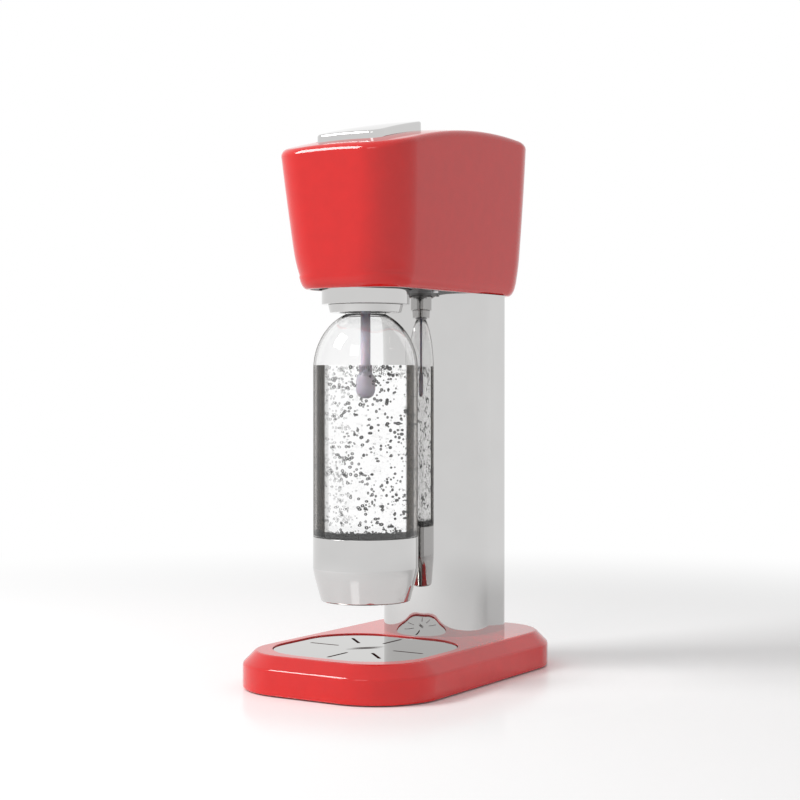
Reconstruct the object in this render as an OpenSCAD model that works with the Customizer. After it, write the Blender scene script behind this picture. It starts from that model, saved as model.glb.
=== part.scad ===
// Sparkling water maker: a base with a drip tray, a column that holds the gas cylinder,
// a head with the press plate, and a tilting holder with its bottle.
// Millimetres. The origin is the centre of the footprint, +Z is up and the front faces -Y.

/* [Base] */
// Width of the base
base_w = 170; // [160:1:200]
// Depth of the base
base_d = 276; // [270:1:310]
// Height of the base's flat top above the table
base_h = 30; // [28:1:36]
// Corner radius of the base, seen from above
base_corner_r = 55; // [45:1:60]
// Chamfer round the base's top edge
base_chamfer = 10; // [6:1:12]
// Wall of the base shell
base_wall = 3; // [2:0.5:4]
// Thickness of the plate that closes the base
base_cover_t = 2; // [1.5:0.5:3]
// Height that the feet lift the base
foot_lift = 1.2; // [1:0.2:3]
// Radius of a foot
foot_r = 9; // [6:0.5:12]

/* [Drip tray] */
// Width of the recess for the drip tray
recess_w = 134; // [120:1:140]
// Depth of the recess, front to back
recess_d = 129; // [120:1:130]
// Corner radius of the recess
recess_corner_r = 47; // [40:1:55]
// How far the floor of the recess lies below the base's top
recess_drop = 18; // [14:1:20]
// How far the grate lies below the base's top
grate_drop = 1; // [0.6:0.2:5]
// Thickness of the grate
grate_t = 1.2; // [0.8:0.2:2]
// Wall of the drip bowl
bowl_wall = 1.6; // [1.2:0.2:3]
// Width of a radial slot in the grate
slot_w = 2.4; // [1.5:0.1:4]
// Where the radial slots start, from the centre
slot_from_r = 27; // [24:1:36]
// Where the radial slots end, from the centre
slot_to_r = 52; // [44:1:58]
// Length of a drain slot in the grate's middle
drain_len = 27; // [20:1:30]

/* [Column] */
// Place of the column's axis behind the origin
column_y = 62; // [60:1:66]
// Outer radius of the column's round front
column_r = 47.5; // [45:0.5:48]
// Distance from the column's axis to its rear face
column_depth = 35; // [34:1:40]
// Radius of the column's rear corners
column_corner_r = 10; // [7:1:12]
// Sheet thickness of the column's jacket
column_wall = 1.5; // [1:0.1:2]
// Thickness of the frame's flanges
flange_t = 4; // [3:0.5:6]
// Thickness of the rear cover
rear_cover_t = 2; // [1.6:0.2:3]

/* [Gas cylinder] */
// Radius of the gas cylinder
cylinder_r = 30; // [28:0.5:31]
// Length of the cylinder's straight part
cylinder_straight = 290; // [270:1:291]
// Height of the cylinder's shoulder
cylinder_shoulder = 27; // [22:1:27]
// Wall of the cylinder
cylinder_wall = 3; // [2:0.5:5]
// Thread radius of the cylinder's valve
valve_thread_r = 10.5; // [9:0.5:12]
// Length of the valve's thread
valve_thread_len = 18; // [14:1:20]
// Radius of the valve's pin
valve_pin_r = 1.5; // [1:0.1:2]

/* [Head] */
// Height of the head's underside above the table
head_z = 313; // [310:1:316]
// Height of the head's highest point above the table
head_top_z = 448.3; // [446:0.1:452]
// Width of the head where its walls begin
head_low_w = 104.4; // [102:0.2:110]
// Width of the head at its top edge
head_top_w = 121; // [116:1:126]
// Front of the head where its walls begin
head_low_front = -95.4; // [-97:0.2:-95]
// Front of the head at its top edge
head_top_front = -105.5; // [-110:0.5:-100]
// Back of the head
head_back = 128; // [127:0.5:131]
// Corner radius of the head, seen from above
head_corner_r = 33.5; // [28:0.5:36]
// Wall of the head shell
head_wall = 2.2; // [2:0.1:2.4]
// Radius of the rounded top edge
head_edge_r = 5; // [4:0.5:8]
// Height of the rolled bottom edge
head_roll_h = 11; // [9:0.5:12]
// Width of the rolled bottom edge
head_roll_w = 8; // [7:0.5:8]
// Place of the head's highest line behind the origin
ridge_y = 65; // [55:1:75]
// Radius of the top's arch, front to back
arch_r = 540; // [500:10:700]
// Radius of the top's crown, side to side
crown_r = 500; // [450:10:900]

/* [Press plate] */
// Width of the press plate
plate_w = 61; // [50:1:62]
// Length of the press plate, front to back
plate_len = 70; // [60:1:74]
// Place of the plate's front edge
plate_front = -82; // [-84:1:-78]
// Height of the plate's rear top edge above the table
plate_top_z = 450; // [449:0.2:454]
// Slope of the plate, falling towards the front
plate_slope = 12.9; // [12.9:0.1:13.4]
// Height of the plate's sides
plate_t = 13; // [12.6:0.1:13.4]
// Corner radius of the plate
plate_corner_r = 9.5; // [6:0.5:11]

/* [Bottle] */
// Place of the bottle's axis before the origin
bottle_y = -53; // [-54:0.2:-52.8]
// Radius of the bottle
bottle_r = 41.3; // [39:0.1:41.5]
// Height of the bottle's foot above the table
bottle_z = 67; // [60:1:72]
// Height of the metal foot cup
cup_h = 51; // [40:1:60]
// Radius of the cup's foot
cup_foot_r = 35.4; // [30:0.2:38]
// Height where the cup's taper ends, above its foot
cup_taper_h = 26; // [20:1:30]
// Wall of the cup
cup_wall = 1.1; // [0.8:0.1:1.5]
// Height where the bottle's shoulder begins
shoulder_z = 250; // [240:1:250]
// Height of the full shoulder curve
shoulder_h = 47; // [44:1:49]
// Radius of the bottle's neck
neck_r = 16; // [14.5:0.1:16.2]
// Wall of the bottle
bottle_wall = 1.2; // [0.8:0.1:1.8]

/* [Bottle holder] */
// Radius of the wide chrome ring
ring_r = 34.7; // [33.5:0.1:35]
// Height of the wide chrome ring
ring_h = 13.3; // [12:0.1:14]
// Upper radius of the chrome mouth below it
mouth_r = 29.7; // [28:0.1:31]
// Lower radius of the chrome mouth
mouth_low_r = 28.2; // [26:0.1:29]
// Height of the chrome mouth
mouth_h = 6.5; // [5:0.5:8]
// Height of the tilting pin above the table
tilt_z = 319.8; // [319.6:0.1:321]
// Place of the tilting pin, in the head's front
tilt_y = -80; // [-80.4:0.2:-79]
// Radius of the nozzle's tube
nozzle_r = 3.9; // [3:0.1:5]
// Radius of the nozzle's bulb
bulb_r = 5.8; // [5:0.1:7]
// Height of the bulb's upper end above the table
bulb_z = 247; // [240:1:255]
// Length of the bulb
bulb_len = 20; // [16:1:24]

/* [Hidden] */
$fn = 96;
// How far a cut runs past a face
overrun = 1;
// Radial clearance of a running fit
fit = 0.05;
// Clearance between pieces that slip together
slip = 0.3;

// Base
foot_place_w_share = 0.30;
foot_place_d_share = 0.38;
foot_stud_r = 3;
foot_lock_r = 4.5;
foot_lock_h = 1.5;
cover_top = foot_lift + base_cover_t;
boss_r = 4.5;
screw_r = 1.6;
screw_head_r = 3;
screw_head_h = 1.6;
screw_len = 12;
cover_screw_x = base_w / 2 - base_wall - 2 * boss_r;
cover_screw_y = base_d / 2 - base_corner_r;
roof_z = base_h - base_wall;

// Drip tray
recess_wall = base_wall;
recess_z = base_h - recess_drop;
grate_top = base_h - grate_drop;
bowl_top = grate_top - grate_t;
bowl_slip = 0.5;
drain_w = 3.6;
drain_along_share = 0.1;
drain_across_share = 0.7;
drain_angle = 45;
slot_angles = [0, 90, 135, 180, 270, 315];

// Column and its frame
jacket_top = head_z;
window_margin = 7;
window_w = 2 * (column_r - column_corner_r);
frame_gap = 0.4;
frame_inset = column_wall + frame_gap;
cylinder_gap = 2;
post_w = 14;
post_d = 30;
rear_rib_t = 2;
rear_rib_d = 4;
rear_room = 2;
frame_back = column_depth - rear_cover_t - rear_rib_d - rear_room;
pull_r = 9;
pull_deep = 1.1;
pull_z_share = 0.9;

// Gas cylinder and its valve
seat_t = 3;
seat_r = cylinder_r - cylinder_gap;
cylinder_z = base_h + seat_t;
cylinder_foot_r = 6;
cylinder_neck_r = 13;
cylinder_neck_h = 6;
cylinder_neck_z = cylinder_z + cylinder_straight + cylinder_shoulder;
valve_z = cylinder_neck_z + cylinder_neck_h;
valve_hex_r = 14;
valve_hex_h = 12;
valve_stem_r = 8;
valve_stem_len = 16;
thread_z = valve_z + valve_hex_h;
thread_top = thread_z + valve_thread_len;
pin_len = 20;
pin_rise = 1.8;
pin_room = 6;

// Valve block
block_gap = 1;
block_z = thread_z + block_gap;
block_r = 19;
block_seal_t = 2.1;
block_seal_gap = 0.1;
block_cap_t = 9;
block_chamber_z = thread_top + block_seal_gap + block_seal_t;
block_h = block_chamber_z - block_z + block_cap_t;
block_top = block_z + block_h;
seal_hole_r = 4;
bar_d = 20;
bar_h = 14;
plunger_r = 2.5;
plunger_gap = 0.3;
plunger_rise = 7;
plunger_head_r = 5;
plunger_head_h = 3;
plunger_low = thread_top + pin_rise + plunger_gap;
plunger_top = block_top + plunger_rise + plunger_head_h;
relief_x = -24;
relief_r = 4.5;
relief_len = 14;
relief_stem_r = 3;
relief_stem_len = 5;

// Gas hose
hose_x = 31;
hose_r = 3;
hose_bore_r = 1.6;
hose_bend_r = 12;
hose_z = block_top - bar_h / 2;
barb_len = 8;
hose_start_y = column_y - bar_d / 2;
elbow_size = 7;

// Chassis in the head
chassis_x = 38;
chassis_t = 3;
chassis_front = 4;
chassis_back = 110;
floor_t = 3;
floor_z = jacket_top;
floor_top = floor_z + floor_t;
floor_inset = head_roll_w + head_wall + 2 * slip;
floor_hw = head_low_w / 2 - floor_inset;
floor_front = head_low_front + floor_inset;
floor_back = head_back - floor_inset;
floor_corner_r = head_corner_r - floor_inset;
pivot_y = 100;
pivot_z = 418;
pivot_r = 3;
pivot_boss_r = 8;
shelf_y = 20;
shelf_half = 12;
shelf_t = 3;
shelf_z = 380;
chassis_low_top = 392;

// Press lever
lever_w = 18;
lever_t = 8;
nose_r = 5;
nose_z = plunger_top + plunger_gap + nose_r;
lever_mid_y = 52;
plate_back = plate_front + plate_len;
plate_back_low = plate_top_z - plate_t;
plate_front_low = plate_back_low - plate_len * tan(plate_slope);
lever_end = 8;
plate_slot_gap = 0.8;
lip_w = 2;
lip_t = 2;
lever_gap = 0.05;
spring_seat_r = 9;
spring_r = 7.5;
spring_wire_r = 0.8;
spring_turns = 7;
spring_end_pitch_share = 2.7;
spring_end_lift = spring_wire_r * spring_end_pitch_share;
spring_low = shelf_z + shelf_t;
spring_top = 412;

// Head shell
head_walls_z = head_z + head_roll_h;
head_bulge = 0.6;
head_middle_y = (head_top_front + head_back) / 2;
boss_len = 18;
side_boss_x = floor_hw - boss_r;
side_boss_y = -8;
boss_sink = 1.2;
boss_rise = 0.9;
side_rib = head_low_w / 2 - head_wall + boss_sink - boss_rise - side_boss_x;
rear_boss_x = 24;
rear_boss_y = floor_back - 2 * boss_r;
arc_steps = 7;
side_steps = 7;
wall_level_shares = [0, 0.33, 0.66, 1];
top_ring_shares = [0.7, 0.35];

// Bottle
cup_slip = 0.08;
cup_edge_r = 3;
cup_proud = 0.4;
bottle_low_r = bottle_r - cup_wall - cup_slip + cup_proud;
cup_r = bottle_low_r + cup_slip + cup_wall;
cup_top = bottle_z + cup_h;
bottle_floor_z = bottle_z + cup_wall + cup_proud;
cup_taper_z = bottle_z + cup_taper_h;
neck_top = 318;
neck_ridge = 1;
neck_ridge_h = 2;
neck_lip_h = 1;
neck_ridge_pitch = 5;
shoulder_steps = 14;

// Bottle holder
ring_sink = 1.3;
ring_z = head_z + ring_sink - ring_h;
ring_top = ring_z + ring_h;
ring_wall = 2;
mouth_z = ring_z - mouth_h;
insert_r = 20.8;
insert_bore_r = neck_r + neck_ridge + slip;
insert_flange_r = ring_r - ring_wall - slip;
insert_flange_t = 3;
yoke_r = 32.5;
yoke_t = 3.7;
hub_r = 24;
hub_cap_t = 16;
hub_top = neck_top + hub_cap_t;
neck_seal_t = 2.5;
neck_seal_hole_r = 11;
tilt_pin_r = 2.5;
tilt_ear_x = 19;
tilt_ear_t = 4.6;
tilt_ear_r = 3.6;
bracket_x = 24;
bracket_t = 4;
ring_room = 2.3;
floor_hole_r = ring_r + ring_room;
nozzle_bore_r = 1.2;
bulb_shares = [[0.45, 0], [0.8, 0.1], [1, 0.3], [1, 0.7], [0.85, 0.88]];
nut_r = 7.5;
nut_h = 5;

// A rectangle with round corners, centred
module round_rect(w, d, r) {
    square([w - 2 * r, d], center = true);
    square([w, d - 2 * r], center = true);
    for (sx = [-1, 1], sy = [-1, 1])
        translate([sx * (w / 2 - r), sy * (d / 2 - r)]) circle(r);
}

// A slab with round corners and a chamfered top edge
module chamfered_slab(w, d, r, h, c) {
    side = [[-1, 0], [1, 0], [1, h - c], [1, h], [-1, h], [-1, h - c]];
    for (sx = [-1, 1], sy = [-1, 1])
        translate([sx * (w / 2 - r), sy * (d / 2 - r), 0]) {
            cylinder(h = h - c, r = r);
            translate([0, 0, h - c]) cylinder(h = c, r1 = r, r2 = r - c);
        }
    translate([0, d / 2 - r, 0]) rotate([90, 0, 0]) linear_extrude(d - 2 * r)
        polygon([for (p = side) [p[0] * (w / 2 - (p[1] == h ? c : 0)), p[1]]]);
    translate([r - w / 2, 0, 0]) rotate([90, 0, 90]) linear_extrude(w - 2 * r)
        polygon([for (p = side) [p[0] * (d / 2 - (p[1] == h ? c : 0)), p[1]]]);
}

// A pan-head screw that points up, with its head below z = 0
module screw(len) {
    translate([0, 0, -screw_head_h]) cylinder(h = screw_head_h, r = screw_head_r);
    cylinder(h = len, r = screw_r);
}

// Places of the base's feet, and of the screws beside the column
module at_feet() {
    for (sx = [-1, 1], sy = [-1, 1])
        translate([sx * base_w * foot_place_w_share, sy * base_d * foot_place_d_share, 0]) children();
}

module at_cover_screws() {
    for (sx = [-1, 1], y = [cover_screw_y, bottle_y + recess_d / 2 + 2 * boss_r])
        translate([sx * cover_screw_x, y, 0]) children();
}

module base_shell() {
    color("red") difference() {
        union() {
            difference() {
                translate([0, 0, foot_lift])
                    chamfered_slab(base_w, base_d, base_corner_r, base_h - foot_lift, base_chamfer);
                difference() {
                    translate([0, 0, foot_lift - overrun])
                        chamfered_slab(base_w - 2 * base_wall, base_d - 2 * base_wall,
                            base_corner_r - base_wall, roof_z - foot_lift + overrun, base_chamfer);
                    translate([0, bottle_y, recess_z - recess_wall]) linear_extrude(base_h)
                        round_rect(recess_w + 2 * recess_wall, recess_d + 2 * recess_wall,
                            recess_corner_r + recess_wall);
                }
            }
            at_cover_screws() translate([0, 0, cover_top]) cylinder(h = roof_z - cover_top, r = boss_r);
        }
        translate([0, bottle_y, recess_z]) linear_extrude(base_h)
            round_rect(recess_w, recess_d, recess_corner_r);
        at_cover_screws() translate([0, 0, cover_top - overrun])
            cylinder(h = screw_len + overrun, r = screw_r);
        at_cage_screws() translate([0, 0, roof_z - overrun]) cylinder(h = base_h, r = screw_r);
    }
}

module base_cover() {
    color("dimgray") difference() {
        translate([0, 0, foot_lift]) linear_extrude(base_cover_t)
            round_rect(base_w - 2 * base_wall - 2 * slip, base_d - 2 * base_wall - 2 * slip,
                base_corner_r - base_wall - slip);
        at_feet() cylinder(h = base_h, r = foot_stud_r);
        at_cover_screws() cylinder(h = base_h, r = screw_r);
        at_cover_screws() translate([0, 0, foot_lift - overrun])
            cylinder(h = overrun + screw_head_h, r = screw_head_r);
    }
}

module rubber_feet() {
    color("black") at_feet() {
        cylinder(h = foot_lift, r = foot_r);
        cylinder(h = cover_top + foot_lock_h, r = foot_stud_r);
        translate([0, 0, cover_top]) cylinder(h = foot_lock_h, r = foot_lock_r);
    }
}

module base_screws() {
    color("silver") at_cover_screws() translate([0, 0, foot_lift + screw_head_h]) screw(screw_len);
}

module drip_bowl() {
    color("dimgray") translate([0, bottle_y, 0]) difference() {
        translate([0, 0, recess_z]) linear_extrude(bowl_top - recess_z)
            round_rect(recess_w - 2 * bowl_slip, recess_d - 2 * bowl_slip, recess_corner_r - bowl_slip);
        translate([0, 0, recess_z + bowl_wall]) linear_extrude(base_h)
            round_rect(recess_w - 2 * bowl_slip - 2 * bowl_wall, recess_d - 2 * bowl_slip - 2 * bowl_wall,
                recess_corner_r - bowl_slip - bowl_wall);
    }
}

// A slot with round ends that runs outwards along +X
module slot_shape(from, to, w) {
    translate([from, -w / 2]) square([to - from, w]);
    translate([from, 0]) circle(w / 2);
    translate([to, 0]) circle(w / 2);
}

// A slot that is pointed at both ends
module drain_shape() {
    arc_r = (drain_len * drain_len / 4 + drain_w * drain_w / 4) / drain_w;
    intersection_for(s = [-1, 1]) translate([0, s * (arc_r - drain_w / 2)]) circle(arc_r, $fn = 360);
}

module drip_grate() {
    color("silver") translate([0, bottle_y, bowl_top]) linear_extrude(grate_t) difference() {
        round_rect(recess_w - 2 * bowl_slip, recess_d - 2 * bowl_slip, recess_corner_r - bowl_slip);
        for (a = slot_angles) rotate(a) slot_shape(slot_from_r, slot_to_r, slot_w);
        for (s = [-1, 1]) rotate(drain_angle)
            translate([s * drain_len * drain_along_share, s * drain_w * drain_across_share]) drain_shape();
    }
}

// Outline of the column, moved in by inset, about the column's axis
module column_outline(inset) {
    r = column_r - inset;
    back = column_depth - inset;
    corner = column_corner_r - inset;
    intersection() {
        circle(r);
        translate([-r, -r]) square([2 * r, r]);
    }
    translate([-r, 0]) square([2 * r, back - corner]);
    translate([corner - r, 0]) square([2 * (r - corner), back]);
    for (s = [-1, 1]) translate([s * (r - corner), back - corner]) circle(corner);
}

module column_shell() {
    color("silver") translate([0, column_y, 0]) difference() {
        translate([0, 0, base_h]) linear_extrude(jacket_top - base_h) column_outline(0);
        translate([0, 0, base_h - overrun]) linear_extrude(jacket_top - base_h + 2 * overrun)
            column_outline(column_wall);
        translate([-window_w / 2, 0, base_h + window_margin])
            cube([window_w, column_depth + overrun, jacket_top - base_h - 2 * window_margin]);
    }
}

module at_cage_screws() {
    for (sx = [-1, 1], a = [-1, 1])
        translate([sx * (column_r - frame_inset - post_w / 2), column_y + a * post_d / 4, 0]) children();
}

module frame_cage() {
    color("gray") difference() {
        translate([0, column_y, 0]) {
            for (z = [base_h, jacket_top - flange_t])
                translate([0, 0, z]) linear_extrude(flange_t) difference() {
                intersection() {
                    column_outline(frame_inset);
                    translate([-column_r, -column_r]) square([2 * column_r, column_r + frame_back]);
                }
                circle(cylinder_r + cylinder_gap);
            }
            translate([0, 0, base_h]) linear_extrude(jacket_top - base_h) intersection() {
                column_outline(frame_inset);
                for (s = [-1, 1]) translate([s * (column_r - frame_inset - post_w / 2), 0])
                    square([post_w, post_d], center = true);
                difference() {
                    circle(2 * column_r);
                    circle(cylinder_r + cylinder_gap);
                }
            }
        }
        for (z = [base_h - overrun, jacket_top - screw_len])
            at_cage_screws() translate([0, 0, z]) cylinder(h = screw_len + overrun, r = screw_r);
    }
}

module cage_screws() {
    color("silver") {
        at_cage_screws() translate([0, 0, roof_z]) screw(screw_len);
        at_cage_screws() translate([0, 0, floor_top]) rotate([180, 0, 0]) screw(screw_len);
    }
}

module cylinder_seat() {
    color("black") translate([0, column_y, base_h]) cylinder(h = seat_t, r = seat_r);
}

module gas_cylinder() {
    straight_z = cylinder_z + cylinder_straight;
    neck_a = acos((cylinder_neck_r - cylinder_wall) / cylinder_r);
    color("gainsboro") translate([0, column_y, 0]) rotate_extrude() polygon(concat(
        [[0, cylinder_z], [cylinder_r - cylinder_foot_r, cylinder_z],
         [cylinder_r, cylinder_z + cylinder_foot_r]],
        [for (i = [0:8]) [
            cylinder_neck_r + (cylinder_r - cylinder_neck_r) * cos(90 * i / 8),
            straight_z + cylinder_shoulder * sin(90 * i / 8)]],
        [[cylinder_neck_r, valve_z], [valve_stem_r, valve_z], [valve_stem_r, cylinder_neck_z]],
        [for (i = [8:-1:0]) [
            valve_stem_r + (cylinder_r - cylinder_wall - valve_stem_r) * cos(90 * i / 8),
            straight_z + (cylinder_shoulder - cylinder_wall) * sin(90 * i / 8)]],
        [[cylinder_r - cylinder_wall, cylinder_z + cylinder_foot_r + cylinder_wall],
         [cylinder_r - cylinder_foot_r - cylinder_wall, cylinder_z + 2 * cylinder_wall],
         [0, cylinder_z + 2 * cylinder_wall]]));
}

module cylinder_valve() {
    color("gold") translate([0, column_y, 0]) difference() {
        union() {
            translate([0, 0, valve_z - valve_stem_len]) cylinder(h = valve_stem_len, r = valve_stem_r);
            translate([0, 0, valve_z]) cylinder(h = valve_hex_h, r = valve_hex_r, $fn = 6);
            translate([0, 0, thread_z]) cylinder(h = valve_thread_len, r = valve_thread_r);
        }
        translate([0, 0, thread_top + pin_rise - pin_len - pin_room])
            cylinder(h = pin_len + pin_room, r = valve_pin_r + fit);
    }
}

module valve_pin() {
    color("silver") translate([0, column_y, thread_top + pin_rise - pin_len])
        cylinder(h = pin_len, r = valve_pin_r);
}

module rear_cover() {
    w = window_w - 2 * slip;
    low = base_h + window_margin + slip;
    h = jacket_top - base_h - 2 * window_margin - 2 * slip;
    color("silver") translate([0, column_y, low]) {
        difference() {
            translate([-w / 2, column_depth - rear_cover_t, 0]) cube([w, rear_cover_t, h]);
            translate([0, column_depth + pull_r - pull_deep, h * pull_z_share]) rotate([0, 90, 0])
                translate([0, 0, -pull_r]) cylinder(h = 2 * pull_r, r = pull_r);
        }
        for (s = [-1, 1]) translate([s * (w / 2 - rear_rib_t / 2) - rear_rib_t / 2,
            column_depth - rear_cover_t - rear_rib_d, 0]) cube([rear_rib_t, rear_rib_d, h]);
    }
}

module at_side_bosses() {
    for (s = [-1, 1]) translate([s * side_boss_x, side_boss_y, 0]) children();
}

module at_rear_bosses() {
    for (s = [-1, 1]) translate([s * rear_boss_x, rear_boss_y, 0]) children();
}

module head_floor() {
    color("dimgray") difference() {
        union() {
            translate([0, (floor_front + floor_back) / 2, floor_z]) linear_extrude(floor_t)
                round_rect(2 * floor_hw, floor_back - floor_front, floor_corner_r);
            for (s = [-1, 1]) translate([s * (bracket_x + bracket_t / 2) - bracket_t / 2, tilt_y, 0]) {
                translate([0, 0, tilt_z]) rotate([0, 90, 0]) cylinder(h = bracket_t, r = tilt_ear_r);
                translate([0, -tilt_ear_r, floor_z]) cube([bracket_t, 2 * tilt_ear_r, tilt_z - floor_z]);
            }
        }
        translate([0, bottle_y, floor_z - overrun]) cylinder(h = floor_t + 2 * overrun, r = floor_hole_r);
        translate([slip - bracket_x, floor_front - overrun, floor_z - overrun])
            cube([2 * (bracket_x - slip), bottle_y - floor_front, floor_t + 2 * overrun]);
        translate([0, column_y, floor_z - overrun])
            cylinder(h = floor_t + 2 * overrun, r = cylinder_r + cylinder_gap);
        translate([-base_w, tilt_y, tilt_z]) rotate([0, 90, 0]) cylinder(h = 2 * base_w, r = tilt_pin_r);
        translate([0, 0, floor_z - overrun]) {
            at_cage_screws() cylinder(h = floor_t + 2 * overrun, r = screw_r);
            at_side_bosses() cylinder(h = floor_t + 2 * overrun, r = screw_r);
            at_rear_bosses() cylinder(h = floor_t + 2 * overrun, r = screw_r);
        }
    }
}

// Height of the head's top surface at a place, lowered by drop
function top_z(x, y, drop) = head_top_z - drop - pow(y - ridge_y, 2) / (2 * arch_r) - x * x / (2 * crown_r);

// Points of a round rectangle, with steps along its corners and its sides
function ring_points(hw, front, back, r) = [
    for (c = [[1, 1, 0, -1, 1], [-1, 1, 90, -1, -1], [-1, -1, 180, 1, -1], [1, -1, 270, 1, 1]])
        let (
            x = c[0] * (hw - r),
            y = c[1] > 0 ? back - r : front + r,
            nx = c[3] * (hw - r),
            ny = c[4] > 0 ? back - r : front + r,
            turn = [cos(c[2] + 90), sin(c[2] + 90)])
        each concat(
            [for (i = [0:arc_steps]) let (a = c[2] + 90 * i / arc_steps) [x + r * cos(a), y + r * sin(a)]],
            [for (i = [1:side_steps - 1])
                [x + r * turn[0] + (nx - x) * i / side_steps, y + r * turn[1] + (ny - y) * i / side_steps]])
];

// Levels of the head's skin, from its bottom edge to near its top's middle, moved in by inset
function head_levels(inset) = concat(
    [for (a = [0, 30, 60]) let (in = inset + head_roll_w * (1 - sin(a)))
        [for (p = ring_points(head_low_w / 2 - in, head_low_front + in, head_back - in, head_corner_r - in))
            [p[0], p[1], head_z + head_roll_h * (1 - cos(a))]]],
    [for (s = wall_level_shares) let (
            hw = head_low_w / 2 + (head_top_w - head_low_w) / 2 * s + head_bulge * 4 * s * (1 - s) - inset,
            front = head_low_front + (head_top_front - head_low_front) * s + inset)
        [for (p = ring_points(hw, front, head_back - inset, head_corner_r - inset))
            [p[0], p[1], head_walls_z + s * (top_z(p[0], p[1], inset + head_edge_r) - head_walls_z)]]],
    [for (a = [30, 60, 90]) let (in = inset + head_edge_r * (1 - cos(a)))
        [for (p = ring_points(head_top_w / 2 - in, head_top_front + in, head_back - in, head_corner_r - in))
            [p[0], p[1], top_z(p[0], p[1], inset + head_edge_r * (1 - sin(a)))]]],
    [for (f = top_ring_shares) let (in = inset + head_edge_r)
        [for (p = ring_points(head_top_w / 2 - in, head_top_front + in, head_back - in, head_corner_r - in))
            let (x = p[0] * f, y = head_middle_y + (p[1] - head_middle_y) * f)
            [x, y, top_z(x, y, inset)]]]);

module head_skin() {
    outer = head_levels(0);
    inner = head_levels(head_wall);
    n = len(outer[0]);
    k = len(outer);
    base = n * k;
    top = 2 * base;
    points = concat([for (l = outer) each l], [for (l = inner) each l],
        [for (drop = [0, head_wall]) [0, head_middle_y, top_z(0, head_middle_y, drop)]]);
    skins = [for (l = [0:k - 2], i = [0:n - 1]) let (
            j = (i + 1) % n,
            a = l * n + i,
            b = l * n + j,
            c = a + n,
            d = b + n)
        each [[a, d, b], [a, c, d], [base + a, base + b, base + d], [base + a, base + d, base + c]]];
    caps = [for (i = [0:n - 1]) let (j = (i + 1) % n, l = (k - 1) * n)
        each [[l + i, top, l + j], [base + l + i, base + l + j, top + 1],
              [i, j, base + j], [i, base + j, base + i]]];
    polyhedron(points, concat(skins, caps));
}

module head_shell() {
    color("red") difference() {
        union() {
            head_skin();
            for (s = [-1, 1]) {
                translate([s * side_boss_x, side_boss_y, floor_top]) {
                    cylinder(h = boss_len, r = boss_r);
                    translate([s > 0 ? 0 : -side_rib, -boss_r / 2, 0]) cube([side_rib, boss_r, boss_len]);
                }
                translate([s * rear_boss_x, rear_boss_y, floor_top]) {
                    cylinder(h = boss_len, r = boss_r);
                    translate([-boss_r / 2, 0, 0])
                        cube([boss_r, head_back - rear_boss_y - head_wall + boss_sink - boss_rise, boss_len]);
                }
            }
        }
        translate([0, plate_front + plate_len / 2, plate_front_low - plate_t]) linear_extrude(4 * plate_t)
            round_rect(plate_w + 2 * plate_slot_gap, plate_len + 2 * plate_slot_gap,
                plate_corner_r + plate_slot_gap);
        at_side_bosses() translate([0, 0, floor_z]) cylinder(h = screw_len, r = screw_r);
        at_rear_bosses() translate([0, 0, floor_z]) cylinder(h = screw_len, r = screw_r);
        translate([0, bottle_y, head_z - overrun]) cylinder(h = floor_t + 2 * overrun, r = floor_hole_r);
    }
}

module head_screws() {
    color("silver") {
        at_side_bosses() translate([0, 0, floor_z]) screw(screw_len);
        at_rear_bosses() translate([0, 0, floor_z]) screw(screw_len);
    }
}

module at_block_screws() {
    for (s = [-1, 1], a = [-1, 1])
        translate([s * (chassis_x + chassis_t), column_y + a * bar_d / 4, hose_z])
            rotate([0, -s * 90, 0]) children();
}

module head_chassis() {
    color("gray") difference() {
        union() {
            for (s = [-1, 1]) translate([s * (chassis_x + chassis_t / 2) - chassis_t / 2, 0, 0])
                rotate([90, 0, 90]) linear_extrude(chassis_t) polygon([
                    [chassis_front, floor_top],
                    [chassis_back, floor_top],
                    [chassis_back, pivot_z + pivot_boss_r],
                    [pivot_y - pivot_boss_r, pivot_z + pivot_boss_r],
                    [lever_mid_y, chassis_low_top + bar_h],
                    [chassis_front, chassis_low_top]]);
            translate([-chassis_x, shelf_y - shelf_half, shelf_z])
                cube([2 * chassis_x, 2 * shelf_half, shelf_t]);
        }
        translate([-base_w, pivot_y, pivot_z]) rotate([0, 90, 0]) cylinder(h = 2 * base_w, r = pivot_r);
        at_block_screws() translate([0, 0, -overrun]) cylinder(h = screw_len, r = screw_r);
        at_cage_screws() translate([0, 0, floor_top - overrun])
            cylinder(h = screw_head_h + 2 * overrun, r = screw_head_r + slip);
    }
}

module valve_block() {
    color("dimgray") difference() {
        union() {
            translate([0, column_y, block_z]) cylinder(h = block_h, r = block_r);
            translate([-chassis_x, column_y - bar_d / 2, block_top - bar_h])
                cube([2 * chassis_x, bar_d, bar_h]);
            translate([hose_x, hose_start_y, hose_z]) rotate([90, 0, 0])
                cylinder(h = barb_len, r = hose_bore_r);
        }
        translate([0, column_y, block_z - overrun])
            cylinder(h = block_chamber_z - block_z + overrun, r = valve_thread_r + fit);
        translate([0, column_y, block_z]) cylinder(h = block_h + overrun, r = plunger_r + fit);
        at_block_screws() cylinder(h = screw_len, r = screw_r);
        translate([relief_x, column_y - bar_d / 2 + relief_stem_len, hose_z]) rotate([90, 0, 0])
            cylinder(h = relief_len, r = relief_stem_r);
    }
}

module block_screws() {
    color("silver") at_block_screws() screw(screw_len);
}

module valve_seal() {
    color("black") translate([0, column_y, block_chamber_z - block_seal_t]) difference() {
        cylinder(h = block_seal_t, r = valve_thread_r - fit);
        translate([0, 0, -overrun]) cylinder(h = block_seal_t + 2 * overrun, r = seal_hole_r);
    }
}

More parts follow.
